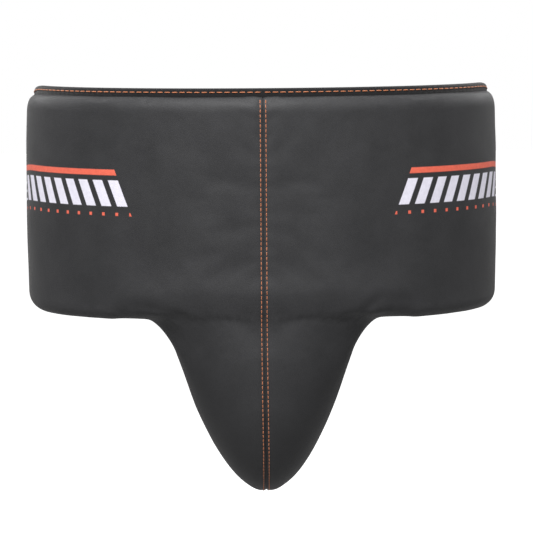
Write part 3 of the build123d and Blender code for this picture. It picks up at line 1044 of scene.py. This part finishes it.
def build_binding(side, name):
    lengths = spaced(0, WING_END - 0.6 * MM, 1.1 * MM)
    columns = []
    for length in lengths:
        phase = 2 * math.pi * length / BINDING_THREAD.pitch
        pucker = 0.16 * MM * (1 + math.cos(phase)) * 0.5
        sway = 0.12 * MM * uneven((length, 0, 0), 22 * MM, 2.2 * side)
        drop = end_drop(length)
        column = []
        for inset, rise in binding_section(pucker):
            x, y = plan(length, inset + sway)
            foot = drop if rise < 0 else 0.0
            column.append((x, y, top_at(y) + rise - foot))
        columns.append(column)
    last = np.array(columns[-1])
    middle = last.mean(axis=0)
    columns.append(last + (middle - last) * 0.45 - np.array([0.5 * MM, 0, 0]))
    columns.append(last + (middle - last) * 0.98 - np.array([0.6 * MM, 0, 0]))
    points = np.stack(columns, axis=1)
    bm = bmesh.new()
    add_grid(bm, mirrored(points, side), grid_uvs(points))
    return finish_mesh(bm, name, BINDING, flip=side > 0)


# ================================================================ stitches
def add_stitch(bm, start, end, outward, stitch):
    """One stitch: a short thread that rises out of the leather and dips back in."""
    layer = uv_layer(bm)
    start, end, outward = Vector(start), Vector(end), Vector(outward).normalized()
    run = end - start
    across = run.cross(outward).normalized()
    rings = []
    shares = (0.0, 0.08, 0.25, 0.5, 0.75, 0.92, 1.0)
    angles = [2 * math.pi * k / THREAD_SIDES for k in range(THREAD_SIDES)]
    for share in shares:
        arch = math.sin(math.pi * share) ** 0.5
        centre = start + run * share + outward * (stitch.lift * (1.6 * arch - 0.6))
        size = stitch.radius * (0.55 + 0.45 * arch)
        spokes = [across * math.cos(a) + outward * math.sin(a) for a in angles]
        rings.append([bm.verts.new(centre + size * spoke) for spoke in spokes])
    for i in range(len(rings) - 1):
        for k in range(THREAD_SIDES):
            after = (k + 1) % THREAD_SIDES
            face = bm.faces.new([rings[i][k], rings[i][after], rings[i + 1][after], rings[i + 1][k]])
            face.smooth = True
            wraps = [(i, k), (i, k + 1), (i + 1, k + 1), (i + 1, k)]
            for loop, (a, b) in zip(face.loops, wraps):
                loop[layer].uv = (shares[a] * run.length, b * 2 * math.pi * stitch.radius / THREAD_SIDES)
    for ring in (rings[0], rings[-1]):
        bm.faces.new(ring).smooth = True


def stitch_row(bm, places, outwards, stitch):
    """Stitches along a line of surface points."""
    places, outwards = np.asarray(places), np.asarray(outwards)
    lengths = lengths_along(places, 0)

    def value_at(values, at):
        return np.array([np.interp(at, lengths, values[:, k]) for k in range(3)])

    for number in range(int(lengths[-1] // stitch.pitch)):
        start, end = number * stitch.pitch, (number + stitch.share) * stitch.pitch
        outward = value_at(outwards, (start + end) / 2)
        add_stitch(bm, value_at(places, start), value_at(places, end), outward, stitch)


def finish_stitches(bm, name, material):
    bmesh.ops.recalc_face_normals(bm, faces=bm.faces)
    return finish_mesh(bm, name, material, weld=1e-8)


def on_surface(tree, point, toward, reach=0.03):
    """Where a ray from outside meets the surface, and the normal there."""
    toward = Vector(toward).normalized()
    place, normal, _, _ = tree.ray_cast(Vector(point) - toward * reach, toward, 3 * reach)
    return (None, None) if place is None else (np.array(place), np.array(normal))


def seam_line(cover, offset):
    """Surface points down the front of the cover, at a fixed distance from the centre seam."""
    cover.data.update()
    tree = BVHTree.FromObject(cover, bpy.context.evaluated_depsgraph_get())
    places, outwards = [], []
    fan_z = PAD_BOTTOM - 60 * MM  # below this the rays fan out round the tip

    def sideways(z):
        return offset + float(lean(np.array([0.0, 0.0, z]))[0])

    for z in np.arange(PAD_TOP - 3 * MM, fan_z, -1.5 * MM):
        place, normal = on_surface(tree, (sideways(z), -HALF_DEPTH - 5 * MM, z), (0, 1, 0))
        if place is not None:
            places.append(place)
            outwards.append(normal)
    for turn in np.linspace(0, 0.54 * math.pi, 90):
        toward = np.array([0, math.cos(turn), math.sin(turn)])
        x = sideways(max(fan_z - 60 * MM * math.sin(turn), TIP_Z))
        place, normal = on_surface(tree, (x, TIP_Y - 10 * MM, fan_z), toward, 0.09)
        if place is not None and place[2] < places[-1][2] - 0.2 * MM:
            places.append(place)
            outwards.append(normal)
    return places, outwards


def build_seam_stitches(cover, side, name):
    places, outwards = seam_line(cover, side * SEAM_STITCH)
    bm = bmesh.new()
    stitch_row(bm, places, outwards, SEAM_THREAD)
    return finish_stitches(bm, name, COPPER)


def build_binding_stitches(side, name):
    lengths = spaced(1.5 * MM, WING_END - 4 * MM, 1.3 * MM)
    places, outwards = [], []
    for length in lengths:
        x, y = plan(length, BINDING_INSET + 0.05 * MM)
        x1, y1 = plan(length, BINDING_INSET + 1 * MM)
        places.append((side * x, y, top_at(y) + 2.2 * MM))
        outwards.append((side * (x - x1), y - y1, 0))
    bm = bmesh.new()
    stitch_row(bm, places, outwards, BINDING_THREAD)
    return finish_stitches(bm, name, COPPER)


# ================================================================ inside of the crotch piece
def cavity_share(height):
    """Height on the outer surface that matches a height above the tip inside the hollow."""
    return (height - CAVITY_DEPTH) * CROTCH_HEIGHT / (CROTCH_HEIGHT - CAVITY_DEPTH)


def bowl_width(height):
    """Half the width of the cup's hollow, and of the whole crotch piece up to its rim tape."""
    inside = np.maximum(0, cavity_share(height))
    half = crotch_half_width(inside) * (1 - CAVITY_DEPTH / TOP_WIDTH) * smoothstep(inside / LIP_SOFTNESS)
    outer = crotch_half_width(height)
    return half, outer - np.minimum(4.2 * MM, 0.3 * outer)


def inner_row(height):
    """A level line across the crotch piece's inside: down the hollow, over its lip, to the rim."""
    inside = max(0.0, cavity_share(height))
    opening = float(smoothstep(inside / LIP_SOFTNESS))
    half, rim = (float(width) for width in bowl_width(height))
    back = float(crotch_back_y(height))
    behind = float(crotch_back_y(inside)) - back
    depth = float(crotch_back_y(inside) - crotch_front_y(inside)) * (1 - CAVITY_DEPTH / FULL_DEPTH)
    depth = max(0.0, depth - behind) * opening
    z = TIP_Z + height
    points = []
    for turn in np.linspace(0, QUARTER, 15):
        points.append((half * math.sin(turn), back - depth * math.cos(turn), z))
    for share in np.linspace(0, 1, 9)[1:]:
        x = half + (rim - half) * share
        puff = PUFF * math.sin(math.pi * min(1.0, share * 0.9 + 0.1)) ** 0.8
        points.append((x, back + puff * min(1.0, rim / (12 * MM)) + 1.2 * MM * share, z))
    return points


def build_cup_lining(name):
    """The padded lining of the cup's hollow, with a hem that overlaps the belt's lining."""
    heights = CROTCH_HEIGHT * np.linspace(0.985, 0.012, 52)
    rows = [inner_row(h) for h in heights]
    first = np.array(rows[0])
    hem = []
    for rise, out in ((13 * MM, 0.2 * MM), (12.6 * MM, 1.1 * MM), (9 * MM, 1.3 * MM), (5 * MM, 1.2 * MM)):
        line = []
        for x, y, z in first:
            wide = min(abs(x) * 1.02, CROTCH_EDGE)
            inset = THICKNESS + out
            face = -(HALF_DEPTH - inset) * math.sqrt(1 - (wide / (HALF_WIDTH - inset)) ** 2)
            line.append((x, face, PAD_BOTTOM + rise))
        hem.append(line)
    half = np.array(hem + rows)
    points = np.concatenate([mirrored(half, -1)[:, :0:-1], half], axis=1)
    bm = bmesh.new()
    add_grid(bm, points, grid_uvs(points))
    lining = finish_mesh(bm, name, LINING, flip=True)
    spots = coordinates(lining)
    near = np.abs(spots[:, 2] - PAD_BOTTOM) / (10 * MM)
    weights = 0.5 * smoothstep(1.5 - near) + 0.25
    weights[open_edge_points(lining)] = 0
    relax(lining, weights, 4)
    spots, outward = coordinates(lining), normals(lining)
    rough = np.array([uneven(p, 22 * MM, 9.3) for p in spots])
    set_coordinates(lining, spots + 0.35 * MM * rough[:, None] * outward)
    subdivide(lining)
    spots = coordinates(lining)
    half, rim = bowl_width(spots[:, 2] - TIP_Z)
    at_rim = smoothstep((np.abs(spots[:, 0]) - half) / np.maximum(rim - half, MM))
    set_coordinates(lining, spots + (lean(spots) - spots) * at_rim[:, None])
    return lining


def cup_face(inset):
    """One face of the hard cup, as level lines that stop short of the crotch piece's back."""
    rows = []
    share = 1 - inset / FULL_DEPTH
    for height in CROTCH_HEIGHT * CUP_TOP * np.linspace(1, 0.1, 34) ** 1.6:
        z = inset + height * (CROTCH_HEIGHT - inset) / CROTCH_HEIGHT
        width = float(crotch_half_width(height)) * (1 - inset / TOP_WIDTH)
        back = float(crotch_back_y(height))
        depth = (back - float(crotch_front_y(height))) * share
        edge = float(crotch_back_y(z)) - CUP_SETBACK
        turns = np.linspace(-QUARTER, QUARTER, 45)
        rows.append([(width * math.sin(t), min(back - depth * math.cos(t), edge), TIP_Z + z) for t in turns])
    return np.array(rows)


def build_cup(name):
    """The hard cup between the crotch foam and its lining, with a rounded rim."""
    outside, inside = cup_face(CUP_OUTSIDE), cup_face(CUP_INSIDE)
    loops = np.concatenate([outside, inside[:, ::-1], outside[:, :1]], axis=1)
    middle = (outside + inside) / 2
    rims = np.concatenate([middle, middle[:, ::-1], middle[:, :1]], axis=1)
    rounding = np.array([0, 0, 0.9 * MM])
    top, bottom = rims[:1] + rounding, rims[-1:] - rounding
    points = np.concatenate([top, loops, bottom], axis=0)
    bm = bmesh.new()
    add_grid(bm, points, grid_uvs(points))
    return finish_mesh(bm, name, CUP_PLASTIC)


def rim_path():
    """The crotch piece's rim on its back, from the left corner round the tip to the right."""
    heights = (CROTCH_HEIGHT + 0.8 * MM) * np.linspace(1, 0, 90) ** 1.8
    right = np.stack([crotch_half_width(heights), crotch_back_y(heights), TIP_Z + heights], axis=1)
    right[-1, 0] = 0
    edge = np.concatenate([mirrored(right, -1), right[::-1][1:]])
    run = np.gradient(edge, axis=0)
    inward = np.stack([-run[:, 2], np.zeros(len(run)), run[:, 0]], axis=1)
    inward /= np.linalg.norm(inward, axis=1)[:, None]
    path = edge + RIM_INSET * inward + np.array([0, RIM_LIFT, 0])
    tucked = smoothstep((path[:, 2] - PAD_BOTTOM + RIM_TUCK) / RIM_TUCK)
    path[:, 1] -= RIM_TUCK * tucked
    return densify(path, 1.6 * MM)


def sweep(name, path, across, outward, outline, material):
    """Sweeps a closed outline, given as offsets across and outward, along a path."""
    bm = bmesh.new()
    points = np.array([path + u * across + v * outward for u, v in [*outline, outline[0]]])
    verts = add_grid(bm, points, grid_uvs(points))
    for column in (0, -1):
        bm.faces.new([row[column] for row in verts[:-1]])
    bmesh.ops.recalc_face_normals(bm, faces=bm.faces)
    for face in bm.faces:
        face.smooth = True
    return finish_mesh(bm, name, material, weld=1e-7)


def flat_oval(width, thickness, sides=16, power=0.6):
    """Outline of a flat tape with rounded edges."""
    outline = []
    for k in range(sides):
        turn = 2 * math.pi * k / sides
        c, s = (math.copysign(abs(v) ** power, v) for v in (math.cos(turn), math.sin(turn)))
        outline.append((width / 2 * c, thickness / 2 * s))
    return outline


def frames_along(path, outward_hint):
    """Unit vectors across and out of a strap, at each point of its path."""
    tangent = np.gradient(path, axis=0)
    tangent /= np.linalg.norm(tangent, axis=1)[:, None]
    hint = np.broadcast_to(np.asarray(outward_hint, float), path.shape)
    across = np.cross(tangent, hint)
    across /= np.linalg.norm(across, axis=1)[:, None]
    return across, np.cross(across, tangent)


def build_rim_tape(name):
    path = rim_path()
    slope = math.atan2(TIP_Y - CROTCH_TOP_BACK_Y, CROTCH_HEIGHT)
    hint = (0, math.cos(slope), math.sin(slope))
    across, outward = frames_along(path, hint)
    tape = sweep(name, path, across, outward, flat_oval(RIM_TAPE_WIDTH, RIM_TAPE_THICK), BINDING)
    set_coordinates(tape, lean(coordinates(tape)))
    bm = bmesh.new()
    stitch_row(bm, lean(path + outward * 0.9 * MM), outward, RIM_THREAD)
    return tape, finish_stitches(bm, name + "_stitches", DARK_THREAD)


# ================================================================ patches, straps and touch tape
def rounded_outline(width, height, radius, steps=6):
    """Corner points of a rounded rectangle centred on zero."""
    corners = [(1, 1, 0), (-1, 1, 1), (-1, -1, 2), (1, -1, 3)]
    outline = []
    for sx, sy, quarter in corners:
        for k in range(steps + 1):
            turn = (quarter + k / steps) * QUARTER
            x = sx * (width / 2 - radius) + radius * math.cos(turn)
            y = sy * (height / 2 - radius) + radius * math.sin(turn)
            outline.append((x, y))
    return outline


def panel_grid(width, height, radius, across_steps, down_steps):
    """A grid of points that fills a rounded rectangle."""
    xs, zs = np.linspace(-1, 1, across_steps + 1), np.linspace(1, -1, down_steps + 1)
    points = np.zeros((len(zs), len(xs), 2))
    for i, z in enumerate(zs):
        for j, x in enumerate(xs):
            px, pz = x * width / 2, z * height / 2
            over_x, over_z = abs(px) - (width / 2 - radius), abs(pz) - (height / 2 - radius)
            if over_x > 0 and over_z > 0:
                reach = max(over_x, over_z)
                length = math.hypot(over_x, over_z)
                px = math.copysign(width / 2 - radius + over_x * reach / length, px)
                pz = math.copysign(height / 2 - radius + over_z * reach / length, pz)
            points[i, j] = px, pz
    return points


def back_place(x, z, out):
    """A point on the back of the belt, out from its surface."""
    y = (HALF_DEPTH + out) * math.sqrt(1 - (x / (HALF_WIDTH + out)) ** 2)
    return (x, y, z)


def back_outward(x):
    y = HALF_DEPTH * math.sqrt(1 - (x / HALF_WIDTH) ** 2)
    vector = np.array([x / HALF_WIDTH**2, y / HALF_DEPTH**2, 0])
    return vector / np.linalg.norm(vector)


def build_back_panel(name, material, low, high, inner, outer, radius=5 * MM, edge=0.7 * MM):
    """A sewn patch that follows the back of the belt: a crowned face with a turned edge."""
    low_x, low_z, high_x, high_z = low[0], low[2], high[0], high[2]
    width, height = high_x - low_x, high_z - low_z
    flat = panel_grid(width, height, radius, max(8, round(width / (3 * MM))), max(8, round(height / (3 * MM))))
    middle_x, middle_z = (low_x + high_x) / 2, (low_z + high_z) / 2
    rows, columns = flat.shape[:2]
    points = np.zeros((rows + 2, columns + 2, 3))
    for i in range(rows + 2):
        for j in range(columns + 2):
            a, b = min(max(i - 1, 0), rows - 1), min(max(j - 1, 0), columns - 1)
            x, z = flat[a, b]
            rim = i in (0, rows + 1) or j in (0, columns + 1)
            near = min(width / 2 - abs(x), height / 2 - abs(z))
            crown = outer - edge * math.exp(-max(near, 0) / (1.0 * MM)) * 0.6
            points[i, j] = back_place(middle_x + x, middle_z + z, inner - 0.3 * MM if rim else crown)
    bm = bmesh.new()
    add_grid(bm, points, grid_uvs(points))
    panel = finish_mesh(bm, name, material, flip=True, weld=0.01 * MM)
    outline = rounded_outline(width - 6 * MM, height - 6 * MM, max(radius - 3 * MM, 1 * MM))
    outline.append(outline[0])
    dense = densify(np.array(outline), 1.2 * MM)
    places = [back_place(middle_x + x, middle_z + z, outer - 0.05 * MM) for x, z in dense]
    outwards = [back_outward(middle_x + x) for x, z in dense]
    return panel, places, outwards


def densify(outline, step):
    """Points about one step apart along a line."""
    lengths = lengths_along(outline, 0)
    at = np.linspace(0, lengths[-1], max(3, int(lengths[-1] / step)))
    return np.stack([np.interp(at, lengths, outline[:, k]) for k in range(outline.shape[1])], axis=1)


def strap_body(name, low_x, high_x, z, height, inner, outer):
    """Elastic that follows the back of the belt."""
    xs = spaced(low_x, high_x, 2.0 * MM)
    middle = (inner + outer) / 2
    path = np.array([back_place(x, z, middle) for x in xs])
    outward = np.array([back_outward(x) for x in xs])
    across = np.broadcast_to((0.0, 0.0, 1.0), path.shape)
    return sweep(name, path, across, outward, ribbed_outline(height, outer - inner), ELASTIC)


def ribbed_outline(width, thickness):
    """Outline of woven elastic: shallow lengthwise ribs on both faces."""
    count = max(4, round(width / RIB_PITCH))
    outline = []
    for face in (1, -1):
        for k in range(4 * count + 1):
            share = k / (4 * count)
            u = (0.5 - share) * width * face
            edge = min(share, 1 - share) * width
            body = thickness / 2 * (1 - 0.45 * math.exp(-edge / (0.6 * MM)))
            rib = RIB_HEIGHT * math.cos(2 * math.pi * share * count)
            outline.append((u, face * (body - RIB_HEIGHT + rib)))
    return outline


def box_stitch(bm, place_at, low_u, high_u, low_v, high_v):
    """A sewn box with a cross in it. place_at maps u, v to a point and the outward direction."""
    a, b, c, d = (low_u, low_v), (high_u, low_v), (high_u, high_v), (low_u, high_v)
    for line in ([a, b, c, d, a, c], [d, b]):
        for ends in zip(line, line[1:]):
            places, outwards = zip(*(place_at(u, v) for u, v in densify(np.array(ends), 1.0 * MM)))
            stitch_row(bm, places, outwards, BOX_THREAD)


def on_patch(x, z):
    """A point on the face of the patch over the closure straps, and the way out from it."""
    return back_place(x, z, TAB_OUT), back_outward(x)


def build_loop_panel():
    low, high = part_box("loop_panel")
    panel, places, outwards = build_back_panel("loop_panel_tape", LOOPS, low, high, 0.0, LOOP_OUT)
    bm = bmesh.new()
    stitch_row(bm, places, outwards, LOOP_THREAD)
    stitches = finish_stitches(bm, "loop_panel_stitches", DARK_THREAD)
    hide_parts("loop_panel")
    for piece in (panel, stitches):
        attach(piece, "right_wing")


def build_strap_base():
    low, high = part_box("strap_base_pad")
    pad, places, outwards = build_back_panel(
        "strap_base_patch", PLAIN_LEATHER, low, high, 0.0, ELASTIC_IN - 0.1 * MM
    )
    bm = bmesh.new()
    stitch_row(bm, places, outwards, BASE_THREAD)
    low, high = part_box("strap_cover_patch")
    cover, places, outwards = build_back_panel(
        "strap_end_patch", PLAIN_LEATHER, low, high, ELASTIC_IN, TAB_OUT + 0.1 * MM, edge=1.4 * MM
    )
    stitch_row(bm, places, outwards, PATCH_THREAD)
    for name in ("upper", "lower"):
        strap_low, strap_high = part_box(f"{name}_strap_base")
        low_z, high_z = strap_low[2] + 7 * MM, strap_high[2] - 7 * MM
        box_stitch(bm, on_patch, low[0] + 8 * MM, high[0] - 6 * MM, low_z, high_z)
    stitches = finish_stitches(bm, "strap_patch_stitches", COPPER)
    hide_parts("strap_base_pad")
    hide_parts("strap_cover_patch")
    for piece in (pad, cover, stitches):
        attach(piece, "left_wing")


def build_closure(which):
    low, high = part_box(f"{which}_strap_elastic")
    base_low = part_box(f"{which}_strap_base")[0]
    tab_low, tab_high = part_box(f"{which}_pull_tab")
    z, height = (low[2] + high[2]) / 2, high[2] - low[2]
    strap = strap_body(f"{which}_closure_elastic", base_low[0], tab_high[0] - 4 * MM, z, height, ELASTIC_IN, ELASTIC_OUT)
    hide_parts(f"{which}_strap_base", f"{which}_strap_elastic")
    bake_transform(strap)
    corner, opposite = (tab_low[0], 0, low[2] - 0.6 * MM), (tab_high[0] + 2 * MM, 0, high[2] + 0.6 * MM)
    name, inner = f"{which}_closure_tab", ELASTIC_IN + 0.2 * MM
    tab, places, outwards = build_back_panel(
        name, PLAIN_LEATHER, corner, opposite, inner, TAB_OUT, radius=9 * MM, edge=1.4 * MM
    )
    bm = bmesh.new()
    stitch_row(bm, places, outwards, PATCH_THREAD)
    stitches = finish_stitches(bm, f"{which}_tab_stitches", COPPER)
    hook_low, hook_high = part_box(f"{which}_hook_patch")
    hooks = build_hooks(f"{which}_closure_hooks", hook_low, hook_high)
    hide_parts(f"{which}_pull_tab")
    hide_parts(f"{which}_hook_patch")
    for piece in (tab, stitches, hooks):
        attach(piece, f"{which}_closure")


def build_hooks(name, low, high):
    """The hook tape on the strap's inner face, with its face towards the belt."""
    panel, _, _ = build_back_panel(name, HOOKS, low, high, 0.0, 0.0, radius=4 * MM)
    spots = coordinates(panel)
    out = np.hypot(spots[:, 0] / HALF_WIDTH, spots[:, 1] / HALF_DEPTH)
    near_rim = open_edge_points(panel)
    for i, (x, y, z) in enumerate(spots):
        spots[i] = back_place(x, z, ELASTIC_IN + 0.2 * MM if near_rim[i] or out[i] < 0.9995 else HOOK_IN)
    set_coordinates(panel, spots)
    flipped = bmesh.new()
    flipped.from_mesh(panel.data)
    bmesh.ops.reverse_faces(flipped, faces=flipped.faces)
    flipped.to_mesh(panel.data)
    flipped.free()
    return panel


def smooth_path(corners, count):
    """A smooth curve that starts and ends at the given points and rounds the ones between."""
    knots = [corners[0], corners[0], *corners, corners[-1], corners[-1]]
    knots = np.array(knots, float)
    points = []
    for i in range(len(knots) - 3):
        for t in np.linspace(0, 1, 12, endpoint=False):
            early, late = 3 * t**3 - 6 * t**2 + 4, -3 * t**3 + 3 * t**2 + 3 * t + 1
            weights = np.array([(1 - t) ** 3, early, late, t**3]) / 6
            points.append(weights @ np.array(knots[i : i + 4]))
    points.append(knots[-1])
    dense = densify(np.array(points), 0.5 * MM)
    pick = np.linspace(0, len(dense) - 1, count).astype(int)
    return dense[pick]


def tip_back(x, height, out):
    """A point behind the crotch piece's back, at a height above its tip."""
    return np.array([x, float(crotch_back_y(height)) + out, TIP_Z + height])


def tab_foot(side_name):
    """The middle of a strap tab's lower edge."""
    low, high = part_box(f"{side_name}_strap_tab")
    return np.array([(low[0] + high[0]) / 2, (low[1] + high[1]) / 2, low[2]])


def build_leg_strap(side_name, side):
    """An elastic strap from the patch at the tip to the tab on the wing."""
    tab = tab_foot(side_name)
    start = tip_back(side * STRAP_APART, STRAP_START, 1.6 * MM)
    turn = tip_back(side * (STRAP_APART + 0.8 * MM), STRAP_TURN, 2.4 * MM)
    top = tab + np.array([0, -1.0 * MM, -5 * MM])
    away = turn + (top - turn) * 0.12 + np.array([0, 0, 3 * MM])
    middle = (turn + top) / 2 + np.array([0, 3 * MM, -5 * MM])
    end = tab + np.array([0, 0, 9 * MM])
    path = smooth_path([start, turn, away, middle, top, end], 130)
    share = np.linspace(0, 1, len(path))[:, None]
    turned, late = smoothstep(share * 1.2), smoothstep((share - 0.86) / 0.14)
    hint = (1 - turned) * np.array([0, 1, -0.25]) + turned * np.array([0, 0.6, -0.8])
    hint = (1 - late) * hint + late * np.array([side * 0.33, 0.94, 0])
    wide, outward = frames_along(path, hint)
    outline = ribbed_outline(LEG_STRAP_WIDTH, LEG_STRAP_THICK)
    strap = sweep(f"{side_name}_leg_elastic", lean(path), wide, outward, outline, ELASTIC)
    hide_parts(f"{side_name}_leg_strap")
    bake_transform(strap)


def build_strap_tab(side_name, side):
    """The folded leather tab that holds a leg strap under the wing's edge."""
    centre = tab_foot(side_name)
    turn = -side * TAB_TURN
    along = np.array([math.cos(turn), math.sin(turn), 0])
    outward = np.array([-math.sin(turn), math.cos(turn), 0])
    half = TAB_THICK / 2

    def tab_point(u, out, rise):
        return centre + along * u + outward * out + np.array([0, 0, rise])

    leaf = [(0.4 * half, TAB_HEIGHT), (half, 0.9 * TAB_HEIGHT), (half, 0.5 * TAB_HEIGHT)]
    leaf += [(0.85 * half, 3 * MM), (0.75 * half, 0.8 * MM), (0.5 * half, 0.0)]
    leaf += [(0.9 * MM, 0.4 * MM), (0.9 * MM, 3 * MM)]  # the slot that the strap comes out of
    profile = [(-out, rise) for out, rise in leaf] + leaf[::-1]
    across = np.linspace(-TAB_WIDTH / 2, TAB_WIDTH / 2, 12)
    points = np.array([[tab_point(u, out, rise) for u in across] for out, rise in profile])
    bm = bmesh.new()
    verts = add_grid(bm, points, grid_uvs(points))
    for column in (0, -1):
        ring = [row[column] for row in verts]
        for k in range(len(ring) // 2 - 1):
            bm.faces.new([ring[k], ring[k + 1], ring[-k - 2], ring[-k - 1]])
    bmesh.ops.recalc_face_normals(bm, faces=bm.faces)
    tab = finish_mesh(bm, f"{side_name}_leg_tab", PLAIN_LEATHER, weld=1e-7)
    bm = bmesh.new()
    reach = TAB_WIDTH / 2 - 3 * MM
    for sign in (1, -1):

        def place_at(u, v):
            return tab_point(u, sign * 0.96 * half, v), outward * sign

        box_stitch(bm, place_at, -reach, reach, 2.5 * MM, 12 * MM)
    stitches = finish_stitches(bm, f"{side_name}_tab_stitching", COPPER)
    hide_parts(f"{side_name}_strap_tab")
    for piece in (tab, stitches):
        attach(piece, f"{side_name}_wing")


def build_tip_patch():
    """The leather patch on the back of the tip, over the ends of the leg straps."""
    rows = []
    for i, height in enumerate(np.linspace(TIP_PATCH_TOP, TIP_PATCH_LOW, 14)):
        width = float(crotch_half_width(height)) - 3.5 * MM
        back = float(crotch_back_y(height))
        row = []
        for share in np.linspace(-1, 1, 19):
            edge = min(1 - abs(share), i / 13 + 0.02, (13 - i) / 13 + 0.02) * 6
            lift = 3.0 * MM + 1.9 * MM * min(1.0, max(edge, 0.0)) ** 0.5
            row.append((share * width, back + lift, TIP_Z + height))
        rows.append(row)
    points = np.array(rows)
    skirt = points.copy()
    skirt[..., 1] -= 2.2 * MM
    full = np.concatenate([skirt[:1], points, skirt[-1:]], axis=0)
    left, right = full[:, :1].copy(), full[:, -1:].copy()
    left[..., 1] -= 2.0 * MM
    right[..., 1] -= 2.0 * MM
    full = np.concatenate([left, full, right], axis=1)
    bm = bmesh.new()
    add_grid(bm, full, grid_uvs(full))
    patch = finish_mesh(bm, "crotch_tip_leather", PLAIN_LEATHER, flip=True)
    subdivide(patch)
    set_coordinates(patch, lean(coordinates(patch)))
    bm = bmesh.new()
    outward = np.array([0, math.cos(PATCH_SLOPE), math.sin(PATCH_SLOPE)])
    for side in (-1, 1):

        def place_at(u, v):
            back = float(crotch_back_y(v))
            return lean(np.array([side * 11.5 * MM + u, back + TIP_PATCH_LIFT, TIP_Z + v])), outward

        box_stitch(bm, place_at, -8 * MM, 8 * MM, 18 * MM, 28 * MM)
    stitches = finish_stitches(bm, "crotch_tip_stitches", COPPER)
    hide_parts("crotch_tip_patch")
    for piece in (patch, stitches):
        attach(piece, "front_pad")


# ================================================================ assembly
def flex(piece):
    """Bakes the piece's placement into its points."""
    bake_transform(piece)


def build_half(side_name, side):
    cover = build_cover(side, f"leather_panel_{side_name}")
    seam = build_seam_stitches(cover, side, f"seam_stitches_{side_name}")
    lining = build_lining(side, f"body_lining_{side_name}")
    binding = build_binding(side, f"binding_tape_{side_name}")
    stitches = build_binding_stitches(side, f"binding_stitches_{side_name}")
    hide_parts(f"front_cover_{side_name}", f"{side_name}_wing_cover", f"{side_name}_wing_firm_foam")
    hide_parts(f"{side_name}_wing_lining", f"{side_name}_wing_soft_foam")
    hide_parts(f"{side_name}_wing_top_binding")
    if side > 0:
        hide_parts("front_firm_foam")
        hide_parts("front_lining", "front_soft_foam")
        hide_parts("front_top_binding")
    for piece in (cover, lining, binding, stitches):
        flex(piece)
    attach(seam, "front_pad")
    build_leg_strap(side_name, side)
    build_strap_tab(side_name, side)


def build_crotch_inside():
    lining = build_cup_lining("cup_lining_pad")
    tape, stitches = build_rim_tape("crotch_rim_tape")
    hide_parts("cup_liner", "crotch_foam")
    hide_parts("crotch_rim_binding")
    cup = build_cup("cup_insert")
    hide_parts("cup_shell")
    for piece in (lining, tape, stitches, cup):
        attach(piece, "front_pad")


# ================================================================ floor, light and camera
def build_stage():
    bm = bmesh.new()
    bmesh.ops.create_circle(bm, cap_ends=True, segments=64, radius=FLOOR_RADIUS)
    mesh = bpy.data.meshes.new("floor")
    bm.to_mesh(mesh)
    bm.free()
    mesh.materials.append(pale_floor("pale_floor"))
    floor = bpy.data.objects.new("floor", mesh)
    floor.location = (0, 0, TIP_Z - FLOOR_DROP)
    bpy.context.scene.collection.objects.link(floor)

    world = bpy.data.worlds.new("studio")
    bpy.context.scene.world = world
    world.use_nodes = True
    tree = world.node_tree
    background = tree.nodes["Background"]
    background.inputs[0].default_value = (1, 1, 1, 1)
    seen = node(tree, "ShaderNodeLightPath").outputs["Is Camera Ray"]
    tree.links.new(remap(tree, seen, 0.0, 1.0, WORLD_LIGHT, 1.0), background.inputs[1])


def add_light(name, place, size, power):
    light = bpy.data.lights.new(name, "AREA")
    light.shape = "RECTANGLE"
    light.size, light.size_y = size
    light.energy = power
    lamp = bpy.data.objects.new(name, light)
    lamp.location = place
    lamp.rotation_euler = (Vector(LIGHT_AIM) - Vector(place)).to_track_quat("-Z", "Y").to_euler()
    bpy.context.scene.collection.objects.link(lamp)


def build_camera():
    data = bpy.data.cameras.new("camera")
    camera = bpy.data.objects.new("camera", data)
    bpy.context.scene.collection.objects.link(camera)
    level = math.cos(CAMERA_RISE)
    away = Vector((-math.sin(CAMERA_TURN) * level, -math.cos(CAMERA_TURN) * level, math.sin(CAMERA_RISE)))
    camera.location = Vector(CAMERA_AIM) + away * CAMERA_DISTANCE
    facing = (-away).to_track_quat("-Z", "Y")
    camera.rotation_mode = "QUATERNION"
    camera.rotation_quaternion = facing @ Quaternion((0, 0, 1), CAMERA_ROLL)
    data.sensor_width = SENSOR
    data.lens = data.sensor_width * CAMERA_DISTANCE / FRAME_WIDTH
    data.clip_start, data.clip_end = 0.05, 50.0
    data.shift_x, data.shift_y = CAMERA_SHIFT
    bpy.context.scene.camera = camera


build_camera()
build_stage()
for name, (place, size, power) in LIGHTS.items():
    add_light(name, place, size, power)
bpy.context.scene.view_settings.view_transform = "Standard"

for side_name, side in (("left", -1), ("right", 1)):
    build_half(side_name, side)
build_crotch_inside()
build_tip_patch()
build_loop_panel()
build_strap_base()
build_closure("upper")
build_closure("lower")
